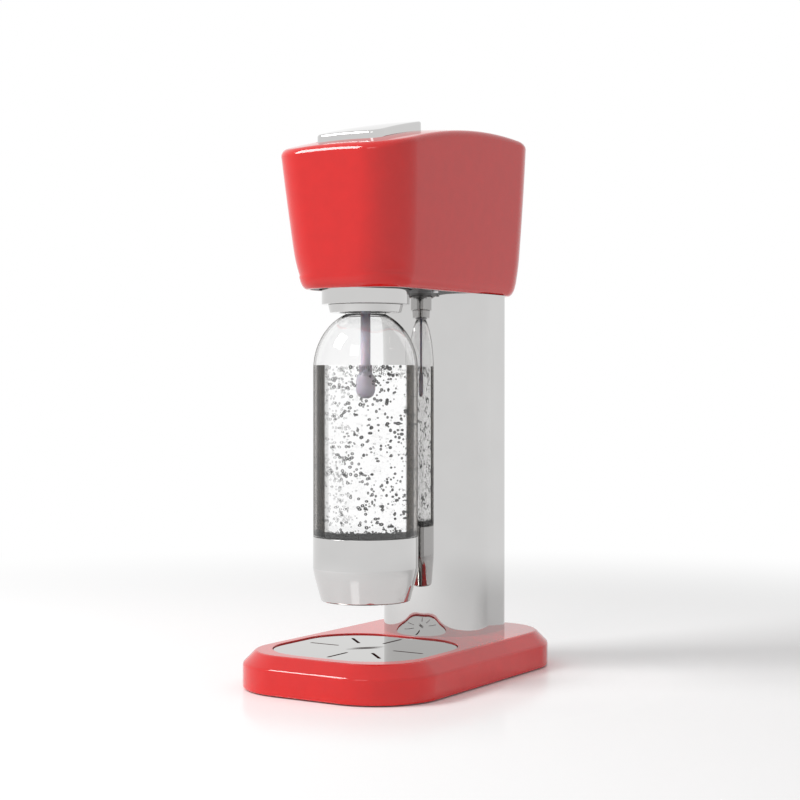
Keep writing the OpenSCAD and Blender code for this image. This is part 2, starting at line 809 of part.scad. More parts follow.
module plunger() {
    color("silver") translate([0, column_y, 0]) {
        translate([0, 0, plunger_low]) cylinder(h = plunger_top - plunger_low, r = plunger_r);
        translate([0, 0, plunger_top - plunger_head_h]) cylinder(h = plunger_head_h, r = plunger_head_r);
    }
}

module relief_valve() {
    color("gold") translate([relief_x, column_y - bar_d / 2, hose_z]) rotate([90, 0, 0]) {
        translate([0, 0, -relief_stem_len]) cylinder(h = relief_stem_len, r = relief_stem_r);
        cylinder(h = relief_len / 2, r = relief_r, $fn = 6);
        cylinder(h = relief_len, r = relief_stem_r);
    }
}

module gas_hose() {
    bend_y = tilt_y + hose_bend_r;
    low = tilt_z + elbow_size / 2;
    color("white") translate([hose_x, 0, 0]) difference() {
        union() {
            translate([0, hose_start_y, hose_z]) rotate([90, 0, 0])
                cylinder(h = hose_start_y - bend_y, r = hose_r);
            translate([0, tilt_y, low]) cylinder(h = hose_z - hose_bend_r - low, r = hose_r);
            translate([0, bend_y, hose_z - hose_bend_r]) rotate([90, 0, -90])
                rotate_extrude(angle = 90) translate([hose_bend_r, 0]) circle(hose_r);
        }
        translate([0, hose_start_y + overrun, hose_z]) rotate([90, 0, 0])
            cylinder(h = hose_start_y - bend_y + overrun, r = hose_bore_r);
        translate([0, tilt_y, low - overrun])
            cylinder(h = hose_z - hose_bend_r - low + overrun, r = hose_bore_r);
        translate([0, bend_y, hose_z - hose_bend_r]) rotate([90, 0, -90])
            rotate_extrude(angle = 90) translate([hose_bend_r, 0]) circle(hose_bore_r);
    }
}

module hose_elbow() {
    color("gold") difference() {
        union() {
            translate([bracket_x + bracket_t, tilt_y - elbow_size / 2, tilt_z - elbow_size / 2])
                cube([hose_x + elbow_size / 2 - bracket_x - bracket_t, elbow_size, elbow_size]);
            translate([hose_x, tilt_y, tilt_z]) cylinder(h = elbow_size / 2 + barb_len, r = hose_bore_r);
        }
        translate([0, tilt_y, tilt_z]) rotate([0, 90, 0]) cylinder(h = hose_x, r = tilt_pin_r);
    }
}

module press_plate() {
    reach = plate_len + plate_w;
    middle = plate_front + plate_len / 2;
    color("silver") intersection() {
        translate([0, middle, plate_front_low - plate_t]) linear_extrude(4 * plate_t)
            round_rect(plate_w, plate_len, plate_corner_r);
        translate([0, plate_back, plate_back_low]) rotate([plate_slope, 0, 0])
            translate([-reach, -2 * reach, 0]) cube([2 * reach, 3 * reach, plate_t * cos(plate_slope)]);
    }
    color("silver") intersection() {
        translate([0, middle, plate_front_low - plate_t]) linear_extrude(4 * plate_t)
            round_rect(plate_w + 2 * lip_w, plate_len + 2 * lip_w, plate_corner_r + lip_w);
        translate([0, plate_back, plate_back_low]) rotate([plate_slope, 0, 0])
            translate([-reach, -2 * reach, 0]) cube([2 * reach, 3 * reach, lip_t * cos(plate_slope)]);
    }
}

module press_lever() {
    slope = tan(plate_slope);
    front = plate_front + lever_end;
    back = plate_back - lip_w;
    plate_low = plate_back_low - lever_gap;
    color("gray") difference() {
        union() {
            translate([-lever_w / 2, 0, 0]) rotate([90, 0, 90]) linear_extrude(lever_w) polygon([
                [front, plate_low - (plate_back - front) * slope],
                [front, plate_low - (plate_back - front) * slope - lever_t],
                [back, plate_low - (plate_back - back) * slope - lever_t],
                [lever_mid_y, nose_z - nose_r + lever_t / 4],
                [pivot_y, pivot_z - pivot_boss_r],
                [pivot_y, pivot_z + pivot_boss_r],
                [lever_mid_y, pivot_z + pivot_boss_r],
                [back, plate_low - (plate_back - back) * slope]]);
            translate([-lever_w / 2, pivot_y, pivot_z]) rotate([0, 90, 0])
                cylinder(h = lever_w, r = pivot_boss_r);
            translate([-lever_w / 2, column_y, nose_z]) rotate([0, 90, 0]) cylinder(h = lever_w, r = nose_r);
            translate([0, shelf_y, spring_top]) cylinder(h = pivot_boss_r, r = spring_seat_r);
        }
        translate([-lever_w, pivot_y, pivot_z]) rotate([0, 90, 0])
            cylinder(h = 2 * lever_w, r = pivot_r + fit);
    }
}

module lever_pin() {
    half = chassis_x + chassis_t;
    color("silver") translate([-half, pivot_y, pivot_z]) rotate([0, 90, 0])
        cylinder(h = 2 * half, r = pivot_r);
}

// Centre of the spring's wire after t turns, with the end turns lying close
function spring_point(t) = let (
        lift = spring_top - spring_low - 2 * spring_wire_r,
        u = t < 1 ? t * spring_end_lift : t > spring_turns - 1
            ? lift - (spring_turns - t) * spring_end_lift
            : spring_end_lift + (t - 1) / (spring_turns - 2) * (lift - 2 * spring_end_lift))
    [spring_r * cos(360 * t), spring_r * sin(360 * t), spring_low + spring_wire_r + u];

module lever_spring() {
    steps = 8 * spring_turns;
    sides = 6;
    points = [for (i = [0:steps], j = [0:sides - 1]) let (
            t = i / 8,
            c = spring_point(t),
            out = [cos(360 * t), sin(360 * t), 0])
        c + spring_wire_r * (out * cos(360 * j / sides) + [0, 0, 1] * sin(360 * j / sides))];
    walls = [for (i = [0:steps - 1], j = [0:sides - 1]) let (
            k = (j + 1) % sides,
            a = i * sides + j,
            b = i * sides + k)
        each [[a, b, b + sides], [a, b + sides, a + sides]]];
    last = steps * sides;
    ends = [for (j = [1:sides - 2]) each [[0, j + 1, j], [last, last + j, last + j + 1]]];
    color("silver") translate([0, shelf_y, 0]) polyhedron(points, concat(walls, ends));
}

module holder_yoke() {
    color("dimgray") difference() {
        union() {
            translate([0, bottle_y, ring_top]) cylinder(h = yoke_t, r = yoke_r);
            translate([0, bottle_y, ring_top]) cylinder(h = hub_top - ring_top, r = hub_r);
            for (s = [-1, 1]) translate([s * (tilt_ear_x + tilt_ear_t / 2) - tilt_ear_t / 2, tilt_y, 0]) {
                translate([0, 0, tilt_z]) rotate([0, 90, 0]) cylinder(h = tilt_ear_t, r = tilt_ear_r);
                translate([0, -tilt_ear_r, ring_top])
                    cube([tilt_ear_t, 4 * tilt_ear_r, tilt_z - ring_top]);
            }
        }
        translate([0, bottle_y, ring_top - overrun])
            cylinder(h = neck_top - ring_top + overrun, r = insert_r);
        translate([0, bottle_y, neck_top - overrun]) cylinder(h = neck_seal_t + overrun, r = insert_bore_r);
        translate([0, bottle_y, neck_top]) cylinder(h = hub_top, r = nozzle_r);
        translate([-base_w, tilt_y, tilt_z]) rotate([0, 90, 0])
            cylinder(h = 2 * base_w, r = tilt_pin_r + fit);
    }
}

module holder_pin() {
    left = bracket_x + bracket_t;
    color("silver") translate([-left, tilt_y, tilt_z]) rotate([0, 90, 0])
        cylinder(h = left + hose_x, r = tilt_pin_r);
}

module collar_ring() {
    color("silver") translate([0, bottle_y, ring_z]) difference() {
        cylinder(h = ring_h, r = ring_r);
        translate([0, 0, ring_wall]) cylinder(h = ring_h, r = ring_r - ring_wall);
        translate([0, 0, -overrun]) cylinder(h = ring_h, r = insert_r + slip);
    }
}

module collar_mouth() {
    color("silver") translate([0, bottle_y, mouth_z]) difference() {
        cylinder(h = mouth_h, r1 = mouth_low_r, r2 = mouth_r);
        translate([0, 0, -overrun]) cylinder(h = mouth_h + 2 * overrun, r = insert_r + slip);
    }
}

module thread_insert() {
    color("gray") translate([0, bottle_y, 0]) difference() {
        union() {
            translate([0, 0, mouth_z + ring_wall]) cylinder(h = neck_top - mouth_z - ring_wall, r = insert_r);
            translate([0, 0, ring_z + ring_wall]) cylinder(h = insert_flange_t, r = insert_flange_r);
        }
        translate([0, 0, mouth_z]) cylinder(h = neck_top, r = insert_bore_r);
    }
}

module neck_seal() {
    color("black") translate([0, bottle_y, neck_top]) difference() {
        cylinder(h = neck_seal_t, r = insert_bore_r);
        translate([0, 0, -overrun]) cylinder(h = neck_seal_t + 2 * overrun, r = neck_seal_hole_r);
    }
}

module nozzle_tube() {
    color("thistle") translate([0, bottle_y, 0]) difference() {
        translate([0, 0, bulb_z]) cylinder(h = hub_top + nut_h - bulb_z, r = nozzle_r);
        translate([0, 0, bulb_z - overrun]) cylinder(h = hub_top, r = nozzle_bore_r);
    }
}

module nozzle_tip() {
    color("thistle") translate([0, bottle_y, bulb_z - bulb_len]) rotate_extrude() polygon(concat(
        [[nozzle_bore_r / 2, 0]],
        [for (s = bulb_shares) [bulb_r * s[0], bulb_len * s[1]]],
        [[nozzle_r, bulb_len], [nozzle_bore_r / 2, bulb_len]]));
}

module nozzle_nut() {
    color("gold") translate([0, bottle_y, hub_top]) difference() {
        cylinder(h = nut_h, r = nut_r, $fn = 6);
        translate([0, 0, -overrun]) cylinder(h = nut_h + 2 * overrun, r = nozzle_r);
    }
}

// Points of the bottle's shoulder from its wall to its neck, moved in by inset
function shoulder_points(inset) = let (last = acos((neck_r - inset) / (bottle_r - inset)))
    [for (i = [0:shoulder_steps]) let (a = last * i / shoulder_steps)
        [(bottle_r - inset) * cos(a), shoulder_z + (shoulder_h - inset) * sin(a)]];

module bottle_body() {
    w = bottle_wall;
    inside = shoulder_points(w);
    foot_r = cup_foot_r - cup_wall - cup_edge_r;
    color("lightcyan", 0.4) translate([0, bottle_y, 0]) difference() {
        union() {
            rotate_extrude() polygon(concat(
                [[0, bottle_floor_z], [foot_r, bottle_floor_z], [bottle_low_r, cup_taper_z],
                 [bottle_low_r, cup_top + slip], [bottle_r, cup_top + slip]],
                shoulder_points(0),
                [[neck_r, neck_top], [neck_r - w, neck_top]],
                [for (i = [shoulder_steps:-1:0]) inside[i]],
                [[bottle_r - w, cup_top + slip], [bottle_low_r - w, cup_top - w],
                 [bottle_low_r - w, cup_taper_z], [foot_r - w, bottle_floor_z + w],
                 [0, bottle_floor_z + w]]));
            for (i = [0:2]) translate([0, 0, neck_top - neck_lip_h - neck_ridge_h - i * neck_ridge_pitch])
                difference() {
                    cylinder(h = neck_ridge_h, r = neck_r + neck_ridge);
                    translate([0, 0, -overrun]) cylinder(h = neck_ridge_h + 2 * overrun, r = neck_r - w / 2);
                }
        }
    }
}

module bottle_cup() {
    color("silver") translate([0, bottle_y, 0]) rotate_extrude() polygon([
        [0, bottle_z],
        [cup_foot_r - cup_edge_r, bottle_z],
        [cup_foot_r, bottle_z + cup_edge_r],
        [cup_r, cup_taper_z],
        [cup_r, cup_top],
        [cup_r - cup_wall, cup_top],
        [cup_r - cup_wall, cup_taper_z],
        [cup_foot_r - cup_edge_r - cup_wall / 2, bottle_z + cup_wall],
        [0, bottle_z + cup_wall]]);
}

base_shell();
base_cover();
rubber_feet();
base_screws();
drip_bowl();
drip_grate();
column_shell();
frame_cage();
cage_screws();
cylinder_seat();
gas_cylinder();
cylinder_valve();
valve_pin();
rear_cover();
head_floor();
head_shell();
head_screws();
head_chassis();
valve_block();
block_screws();
valve_seal();
plunger();
relief_valve();
gas_hose();
hose_elbow();
press_plate();
press_lever();
lever_pin();
lever_spring();
holder_yoke();
holder_pin();
collar_ring();
collar_mouth();
thread_insert();
neck_seal();
nozzle_tube();
nozzle_tip();
nozzle_nut();
bottle_body();
bottle_cup();
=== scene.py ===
import math
import random

import bpy
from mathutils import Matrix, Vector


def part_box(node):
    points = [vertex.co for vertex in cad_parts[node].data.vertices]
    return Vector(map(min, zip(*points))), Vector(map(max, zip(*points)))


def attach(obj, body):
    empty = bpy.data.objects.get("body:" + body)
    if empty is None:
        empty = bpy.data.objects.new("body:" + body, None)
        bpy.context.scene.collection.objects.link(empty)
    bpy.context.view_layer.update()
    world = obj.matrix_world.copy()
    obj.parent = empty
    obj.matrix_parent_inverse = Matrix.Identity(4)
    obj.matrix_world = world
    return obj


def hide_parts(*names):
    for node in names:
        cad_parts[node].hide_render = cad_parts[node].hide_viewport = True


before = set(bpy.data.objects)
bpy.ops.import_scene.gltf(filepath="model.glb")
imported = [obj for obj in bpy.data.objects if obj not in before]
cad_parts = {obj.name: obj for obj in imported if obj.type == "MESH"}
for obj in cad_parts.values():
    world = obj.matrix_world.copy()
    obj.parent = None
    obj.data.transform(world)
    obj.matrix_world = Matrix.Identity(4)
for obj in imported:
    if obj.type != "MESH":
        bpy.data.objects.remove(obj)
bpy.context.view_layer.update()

mm = 0.001

# Base shell
# One moulding of glossy red plastic, chamfered round its top edge, with a recess for the drip tray.
# The column stands on its rear half, and a plate with rubber feet closes it from below.
base_low, base_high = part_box("base_shell")
base_corner = 55 * mm
base_chamfer = 10 * mm
base_wall = 3 * mm
base_edge = 1.6 * mm
base_foot_edge = 0.6 * mm
bottle_y = -53 * mm
recess_half = 67 * mm
recess_reach = 64.5 * mm
recess_corner = 47 * mm
recess_floor = 12 * mm
recess_edge = 0.5 * mm
red = (0.72, 0.004, 0.003)
sharp_angle = math.radians(35)


def outline(half, front, back, corner, arc_steps=20, side_steps=1):
    """Points anticlockwise round a rectangle with round corners, seen from above"""
    centres = [
        (half - corner, back - corner),
        (corner - half, back - corner),
        (corner - half, front + corner),
        (half - corner, front + corner),
    ]
    points = []
    for k in range(4):
        arc = []
        for i in range(arc_steps + 1):
            a = math.pi / 2 * (k + i / arc_steps)
            arc.append((centres[k][0] + corner * math.cos(a), centres[k][1] + corner * math.sin(a)))
        points += arc
        a = math.pi / 2 * (k + 1)
        far = centres[(k + 1) % 4]
        end = (far[0] + corner * math.cos(a), far[1] + corner * math.sin(a))
        for i in range(1, side_steps):
            t = i / side_steps
            points.append(tuple(p + (q - p) * t for p, q in zip(arc[-1], end)))
    return points


def level(points, z):
    """The outline at one height"""
    return [(x, y, z) for x, y in points]


def eased(profile, radius, steps=6):
    """The profile's points with each inner corner rounded"""
    soft = [profile[0]]
    for a, p, b in zip(profile, profile[1:], profile[2:]):
        to_a = (a[0] - p[0], a[1] - p[1])
        to_b = (b[0] - p[0], b[1] - p[1])
        reach_a = min(radius / math.hypot(*to_a), 0.5)
        reach_b = min(radius / math.hypot(*to_b), 0.5)
        for i in range(steps + 1):
            t = i / steps
            near = (1 - t) * (1 - t) * reach_a
            far = t * t * reach_b
            soft.append(tuple(p[c] + near * to_a[c] + far * to_b[c] for c in (0, 1)))
    return soft + [profile[-1]]


def skin(rings, capped=True):
    """Points and faces of a skin through rings of as many points, with both ends capped or joined"""
    n = len(rings[0])
    points = [p for ring in rings for p in ring]
    last = len(rings) - 1
    faces = []
    for k in range(last if capped else last + 1):
        a = k * n
        b = (k + 1) % len(rings) * n
        faces += [(a + i, a + (i + 1) % n, b + (i + 1) % n, b + i) for i in range(n)]
    if capped:
        faces.append(tuple(range(n - 1, -1, -1)))
        faces.append(tuple(last * n + i for i in range(n)))
    return points, faces


def piece(name, shape, material, body, slot, *nodes, trim=None, trimmed=()):
    """A smooth piece that rides on a body, takes its finish from a material and stands for CAD nodes; the
    slot is not used
    """
    mesh = bpy.data.meshes.new(name)
    mesh.from_pydata(shape[0], [], shape[1])
    mesh.set_sharp_from_angle(angle=sharp_angle)
    mesh.materials.append(material)
    if trim:
        mesh.materials.append(trim)
        for i in trimmed:
            mesh.polygons[i].material_index = 1
    made = bpy.data.objects.new(name, mesh)
    bpy.context.scene.collection.objects.link(made)
    made.modifiers.new("even_shading", "WEIGHTED_NORMAL").keep_sharp = True
    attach(made, body)
    if nodes:
        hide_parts(*nodes)
    return made


def surface(
    name, colour, rough, metal=0.0, tint=0.04, grain=400, depth=0.0, stretch=(1, 1, 1), rough_range=0.3
):
    """A node material whose colour and gloss vary a little with a noise, which also raises it"""
    material = bpy.data.materials.new(name)
    material.use_nodes = True
    nodes = material.node_tree.nodes
    links = material.node_tree.links
    shader = nodes["Principled BSDF"]
    shader.inputs["Metallic"].default_value = metal
    place = nodes.new("ShaderNodeTexCoord")
    scale = nodes.new("ShaderNodeMapping")
    scale.inputs["Scale"].default_value = stretch
    links.new(place.outputs["Object"], scale.inputs["Vector"])
    noise = nodes.new("ShaderNodeTexNoise")
    noise.inputs["Scale"].default_value = grain
    noise.inputs["Detail"].default_value = 3
    links.new(scale.outputs["Vector"], noise.inputs["Vector"])
    tone = nodes.new("ShaderNodeValToRGB")
    tone.color_ramp.elements[0].position = 0.3
    tone.color_ramp.elements[1].position = 0.7
    for element, share in zip(tone.color_ramp.elements, (1 - tint, 1 + tint)):
        element.color = [min(c * share, 1) for c in colour] + [1]
    links.new(noise.outputs["Fac"], tone.inputs["Fac"])
    links.new(tone.outputs["Color"], shader.inputs["Base Color"])
    gloss = nodes.new("ShaderNodeMapRange")
    gloss.inputs["To Min"].default_value = rough * (1 - rough_range)
    gloss.inputs["To Max"].default_value = rough * (1 + rough_range)
    links.new(noise.outputs["Fac"], gloss.inputs["Value"])
    links.new(gloss.outputs["Result"], shader.inputs["Roughness"])
    if depth:
        bump = nodes.new("ShaderNodeBump")
        bump.inputs["Distance"].default_value = depth
        bump.inputs["Strength"].default_value = 0.4
        links.new(noise.outputs["Fac"], bump.inputs["Height"])
        links.new(bump.outputs["Normal"], shader.inputs["Normal"])
    return material


def red_casing():
    """Glossy red plastic: clear highlights over a faint orange peel from the mould"""
    material = surface("red_plastic", red, 0.045, tint=0.03, grain=90, depth=0.00001)
    shader = material.node_tree.nodes["Principled BSDF"]
    shader.inputs["IOR"].default_value = 1.55
    return material


red_plastic = red_casing()
base_half = base_high.x
base_rim = eased(
    [
        (base_foot_edge, base_low.z),
        (0, base_low.z + base_foot_edge),
        (0, base_high.z - base_chamfer),
        (base_chamfer, base_high.z),
        (2 * base_chamfer - base_wall, base_high.z),
    ],
    base_edge,
)[:-1]
recess_lip = eased(
    [(base_wall, base_high.z), (0, base_high.z), (0, recess_floor)],
    recess_edge,
)[1:]
base_inside = [
    (base_chamfer + base_wall, base_high.z - base_wall),
    (base_wall, base_high.z - base_wall - base_chamfer),
    (base_wall, base_low.z),
]


def base_ring(inset, z):
    """The base's outline moved in, at one height"""
    inner = outline(base_half - inset, base_low.y + inset, base_high.y - inset, base_corner - inset)
    return level(inner, z)


def recess_ring(outset, z):
    """The recess's outline moved out, at one height"""
    outer = outline(
        recess_half + outset,
        bottle_y - recess_reach - outset,
        bottle_y + recess_reach + outset,
        recess_corner + outset,
    )
    return level(outer, z)


base_rings = [
    recess_ring(base_wall, recess_floor - base_wall),
    recess_ring(base_wall, base_high.z - base_wall),
]
base_rings += [base_ring(*p) for p in base_inside + base_rim]
base_rings += [recess_ring(*p) for p in recess_lip]
piece("base_casing", skin(base_rings), red_plastic, "stand", "red_gloss", "base_shell")

# Base cover, feet and screws
# A dark plate of moulded plastic closes the base. Four rubber feet are pushed through it, and pan-head
# screws hold it to the posts in the base.


def dress(node, material):
    """Gives a CAD piece its finish"""
    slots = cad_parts[node].data.materials
    slots.clear()
    slots.append(material)


dark_plastic = surface("dark_plastic", (0.035, 0.035, 0.038), 0.45, grain=900, depth=0.00004)
foot_rubber = surface("foot_rubber", (0.022, 0.022, 0.022), 0.75, grain=1500, depth=0.00005)
screw_steel = surface("screw_steel", (0.60, 0.60, 0.61), 0.24, metal=1.0, grain=700, depth=0.00001)
dress("base_cover", dark_plastic)
dress("rubber_feet", foot_rubber)
for screws in ("base_screws", "cage_screws", "head_screws", "block_screws"):
    dress(screws, screw_steel)

# Drip tray
# A red bowl stands in the recess, and a polished steel grate lies on its rim. The grate's slots run
# outwards from its middle, where two pointed slots let the water through.
grate_low, grate_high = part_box("drip_grate")
grate_edge = 0.18 * mm
grate_gap = 0.5 * mm
slot_angles = (0, 90, 135, 180, 270, 315)
slot_from = 27 * mm
slot_to = 52 * mm
slot_width = 2.4 * mm
drain_length = 27 * mm
drain_width = 3.6 * mm
drain_along = 2.7 * mm
drain_across = 2.52 * mm
drain_turn = 45


def turned_by(points, degrees):
    """Flat points turned about the bottle's axis and moved there"""
    c, s = math.cos(math.radians(degrees)), math.sin(math.radians(degrees))
    return [(x * c - y * s, x * s + y * c + bottle_y) for x, y in points]


def radial_slot():
    """A slot with round ends that runs outwards"""
    points = []
    for end, start in ((slot_to, -90), (slot_from, 90)):
        for i in range(9):
            a = math.radians(start + 180 * i / 8)
            points.append((end + slot_width / 2 * math.cos(a), slot_width / 2 * math.sin(a)))
    return points


def drain_slot(side):
    """A slot that is pointed at both ends"""
    radius = (drain_length ** 2 + drain_width ** 2) / 4 / drain_width
    half = math.asin(drain_length / 2 / radius)
    points = []
    for sign in (1, -1):
        for i in range(16):
            a = half * (1 - 2 * i / 16) * sign
            points.append((
                sign * radius * math.sin(a * sign) + side * drain_along,
                sign * (radius * math.cos(a) - radius + drain_width / 2) + side * drain_across,
            ))
    return points


def cut_sheet(name, edge, holes, low, high, soft):
    """Points and faces of a flat sheet with holes and soft edges"""
    curve = bpy.data.curves.new(name, "CURVE")
    curve.dimensions = "2D"
    curve.fill_mode = "BOTH"
    curve.extrude = (high - low) / 2 - soft
    curve.bevel_depth = soft
    curve.bevel_resolution = 2
    curve.offset = -soft
    for points in [edge] + holes:
        spline = curve.splines.new("POLY")
        spline.points.add(len(points) - 1)
        for point, (x, y) in zip(spline.points, points):
            point.co = (x, y, 0, 1)
        spline.use_cyclic_u = True
    holder = bpy.data.objects.new(name, curve)
    bpy.context.scene.collection.objects.link(holder)
    ready = holder.evaluated_get(bpy.context.evaluated_depsgraph_get())
    mesh = bpy.data.meshes.new_from_object(ready)
    points = [(v.co.x, v.co.y, v.co.z + (low + high) / 2) for v in mesh.vertices]
    faces = [tuple(f.vertices) for f in mesh.polygons]
    bpy.data.objects.remove(holder)
    bpy.data.curves.remove(curve)
    bpy.data.meshes.remove(mesh)
    return points, faces


grate_steel = surface("grate_steel", (0.42, 0.415, 0.40), 0.025, metal=1.0, tint=0.01, grain=60)
grate_holes = [turned_by(radial_slot(), a) for a in slot_angles]
grate_holes += [turned_by(drain_slot(side), drain_turn) for side in (-1, 1)]
grate_shape = cut_sheet(
    "grate_plate",
    outline(
        recess_half - grate_gap,
        bottle_y - recess_reach + grate_gap,
        bottle_y + recess_reach - grate_gap,
        recess_corner - grate_gap,
    ),
    grate_holes,
    grate_low.z,
    grate_high.z,
    grate_edge,
)
# painted shade: the slots' cut sides and soft edges are dark red-brown, for the shade inside the slots
slot_painted_shade = surface("slot_painted_shade", (0.05, 0.012, 0.010), 0.5, metal=0.4, grain=900)


def slot_faces(points, faces):
    """The faces on the cut sides of the slots"""
    found = []
    for i, face in enumerate(faces):
        heights = [points[k][2] for k in face]
        reach = max(math.hypot(points[k][0], points[k][1] - bottle_y) for k in face)
        if max(heights) - min(heights) > 0.01 * mm and reach < slot_to + slot_width:
            found.append(i)
    return found


piece(
    "grate_plate",
    grate_shape,
    grate_steel,
    "drip_grate",
    "grate_steel",
    "drip_grate",
    trim=slot_painted_shade,
    trimmed=slot_faces(*grate_shape),
)
dress("drip_bowl", red_plastic)

# Column jacket
# One bent sheet of chromed metal, round in front, flat at the sides and open at the back, where the
# rear panel closes it. It stands on the base and carries the head on the frame inside.
column_low, column_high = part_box("column_shell")
column_y = 62 * mm
column_r = 47.5 * mm
column_back = 35 * mm
column_corner = 10 * mm
column_wall = 1.5 * mm
window_margin = 7 * mm
front_steps = 96
corner_steps = 16


def chromed():
    """Mirror chrome: faint wiping marks show only in its gloss"""
    return surface("chrome", (0.60, 0.595, 0.59), 0.035, metal=1.0, tint=0.015, grain=30, rough_range=0.5)


chrome = chromed()


def column_outline(inset):
    """The jacket's outline moved in, anticlockwise, with the flat back after the first two arcs"""
    r = column_r - inset
    back = column_back - inset
    corner = column_corner - inset
    arcs = [(0, 0, r, 180, 180, front_steps), (r - corner, back - corner, corner, 0, 90, corner_steps)]
    arcs.append((corner - r, back - corner, corner, 90, 90, corner_steps))
    points = []
    for x, y, radius, start, sweep, steps in arcs:
        for i in range(steps + 1):
            a = math.radians(start + sweep * i / steps)
            points.append((x + radius * math.cos(a), column_y + y + radius * math.sin(a)))
    return points


def jacket_shape():
    """The jacket's inner and outer skin, with a window in its back"""
    heights = (column_low.z, column_low.z + window_margin, column_high.z - window_margin, column_high.z)
    rings = [level(column_outline(0), z) for z in heights]
    rings += [level(column_outline(column_wall), z) for z in reversed(heights)]
    points, faces = skin(rings, capped=False)
    n = len(rings[0])
    right = front_steps + 1 + corner_steps
    left = right + 1
    openings = {
        (n + right, n + left, 2 * n + left, 2 * n + right),
        (5 * n + right, 5 * n + left, 6 * n + left, 6 * n + right),
    }
    faces = [f for f in faces if f not in openings]
    faces += [
        (n + right, 6 * n + right, 6 * n + left, n + left),
        (2 * n + left, 5 * n + left, 5 * n + right, 2 * n + right),
        (n + right, 2 * n + right, 5 * n + right, 6 * n + right),
        (n + left, 6 * n + left, 5 * n + left, 2 * n + left),
    ]
    return points, faces


piece("column_jacket", jacket_shape(), chrome, "stand", "chrome", "column_shell")

# Rear panel
# A flat chromed panel that clips into the back of the column. A finger scoop near its top lets it
# be pulled off to change the gas cylinder.
panel_low, panel_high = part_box("rear_cover")
panel_corner = 1.5 * mm
panel_edge = 0.5 * mm
panel_back_rib = 4 * mm
scoop_half = 9 * mm
scoop_rise = 4.2 * mm
scoop_deep = 1.1 * mm
scoop_share = 0.9
scoop_steps = 13


def panel_shape():
    """The panel with its scoop, drawn flat and then stood up at the column's back"""
    half = panel_high.x
    low, high = panel_low.z, panel_high.z
    thick = panel_high.y - panel_low.y - panel_back_rib
    scoop_z = low + (high - low) * scoop_share
    rings = []
    for inset, deep in ((0, thick), (0, panel_edge), (0.3 * panel_edge, 0.3 * panel_edge), (panel_edge, 0)):
        ring = outline(half - inset, low + inset, high - inset, panel_corner - inset)
        rings.append(level(ring, deep))
    for i in range(scoop_steps):
        share = math.sin(math.pi / 2 * (1 - i / scoop_steps))
        deep = scoop_deep * (1 - share) ** 0.8
        w = scoop_half * (0.15 + 0.85 * share)
        h = scoop_rise * max(share, 0.02)
        rings.append(level(outline(w, scoop_z - h, scoop_z + h, 0.98 * min(w, h)), deep))
    points, faces = skin(rings)
    return [(-x, panel_high.y - deep, z) for x, z, deep in points], faces


piece("rear_panel", panel_shape(), chrome, "rear_cover", "chrome", "rear_cover")

# Frame and gas cylinder
# Inside the column a moulded cage is screwed to the base and to the head. The drawn aluminium
# cylinder stands on a rubber seat, and its brass valve screws into the block in the head.
cage_plastic = surface("cage_plastic", (0.20, 0.20, 0.21), 0.5, grain=700, depth=0.00003)
drawn_aluminium = surface(
    "drawn_aluminium", (0.70, 0.71, 0.72), 0.28, metal=1.0, grain=900, depth=0.00002, stretch=(1, 1, 0.03)
)
turned_brass = surface(
    "turned_brass", (0.74, 0.52, 0.22), 0.2, metal=1.0, grain=1200, depth=0.00001, stretch=(0.05, 0.05, 1)
)
bright_steel = surface("bright_steel", (0.62, 0.62, 0.63), 0.15, metal=1.0, grain=900, stretch=(0.1, 1, 1))
dress("frame_cage", cage_plastic)
dress("cylinder_seat", foot_rubber)
dress("gas_cylinder", drawn_aluminium)
for fitting in ("cylinder_valve", "relief_valve", "hose_elbow", "nozzle_nut"):
    dress(fitting, turned_brass)
for steel_part in ("valve_pin", "plunger", "lever_pin", "lever_spring", "holder_pin"):
    dress(steel_part, bright_steel)

# Head shell
# A hood of the same red plastic. Its walls lean outwards, its bottom edge is rolled in, and its top
# is arched, with an opening for the press plate.
head_low, head_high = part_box("head_shell")
head_low_half = 52.2 * mm
head_top_half = 60.5 * mm
head_low_front = -95.4 * mm
head_corner = 33.5 * mm
head_wall = 2.2 * mm
head_edge = 5 * mm
roll_width = 8 * mm
roll_height = 11 * mm
soft_height = 24 * mm
soft_slope = 0.105
roll_start = math.radians(20)
head_bulge = 0.6 * mm
ridge_y = 65 * mm
arch_radius = 540 * mm
crown_radius = 500 * mm
plate_half = 30.5 * mm
plate_front = -82 * mm
plate_back = -12 * mm
plate_corner = 9.5 * mm
plate_gap = 0.8 * mm
lip_radius = 0.9 * mm
head_arcs = 24
head_sides = 20
roll_steps = 16
wall_steps = 32
edge_steps = 10
top_steps = 16
lip_steps = 6


def head_height(x, y, drop):
    """Height of the arched top at a place, lowered by drop"""
    return head_high.z - drop - (y - ridge_y) ** 2 / 2 / arch_radius - x * x / 2 / crown_radius


def head_ring(half, front, back, corner, height):
    """A ring of the hood at heights that follow a function"""
    return [(x, y, height(x, y)) for x, y in outline(half, front, back, corner, head_arcs, head_sides)]


def lower_bend(share):
    """How far the walls bend in above the rolled edge, at a share of their height"""
    above = share * (head_high.z - head_edge - head_low.z - roll_height)
    return soft_slope * max(0, soft_height - above) ** 2 / 2 / soft_height


def roll(share):
    """Sideways and upward place on the rolled edge, as shares of it, from its lowest ring to the wall"""
    a = math.pi / 2 + (roll_start - math.pi / 2) * share
    return 1 - math.cos(a) / math.cos(roll_start), (1 - math.sin(a)) / (1 - math.sin(roll_start))


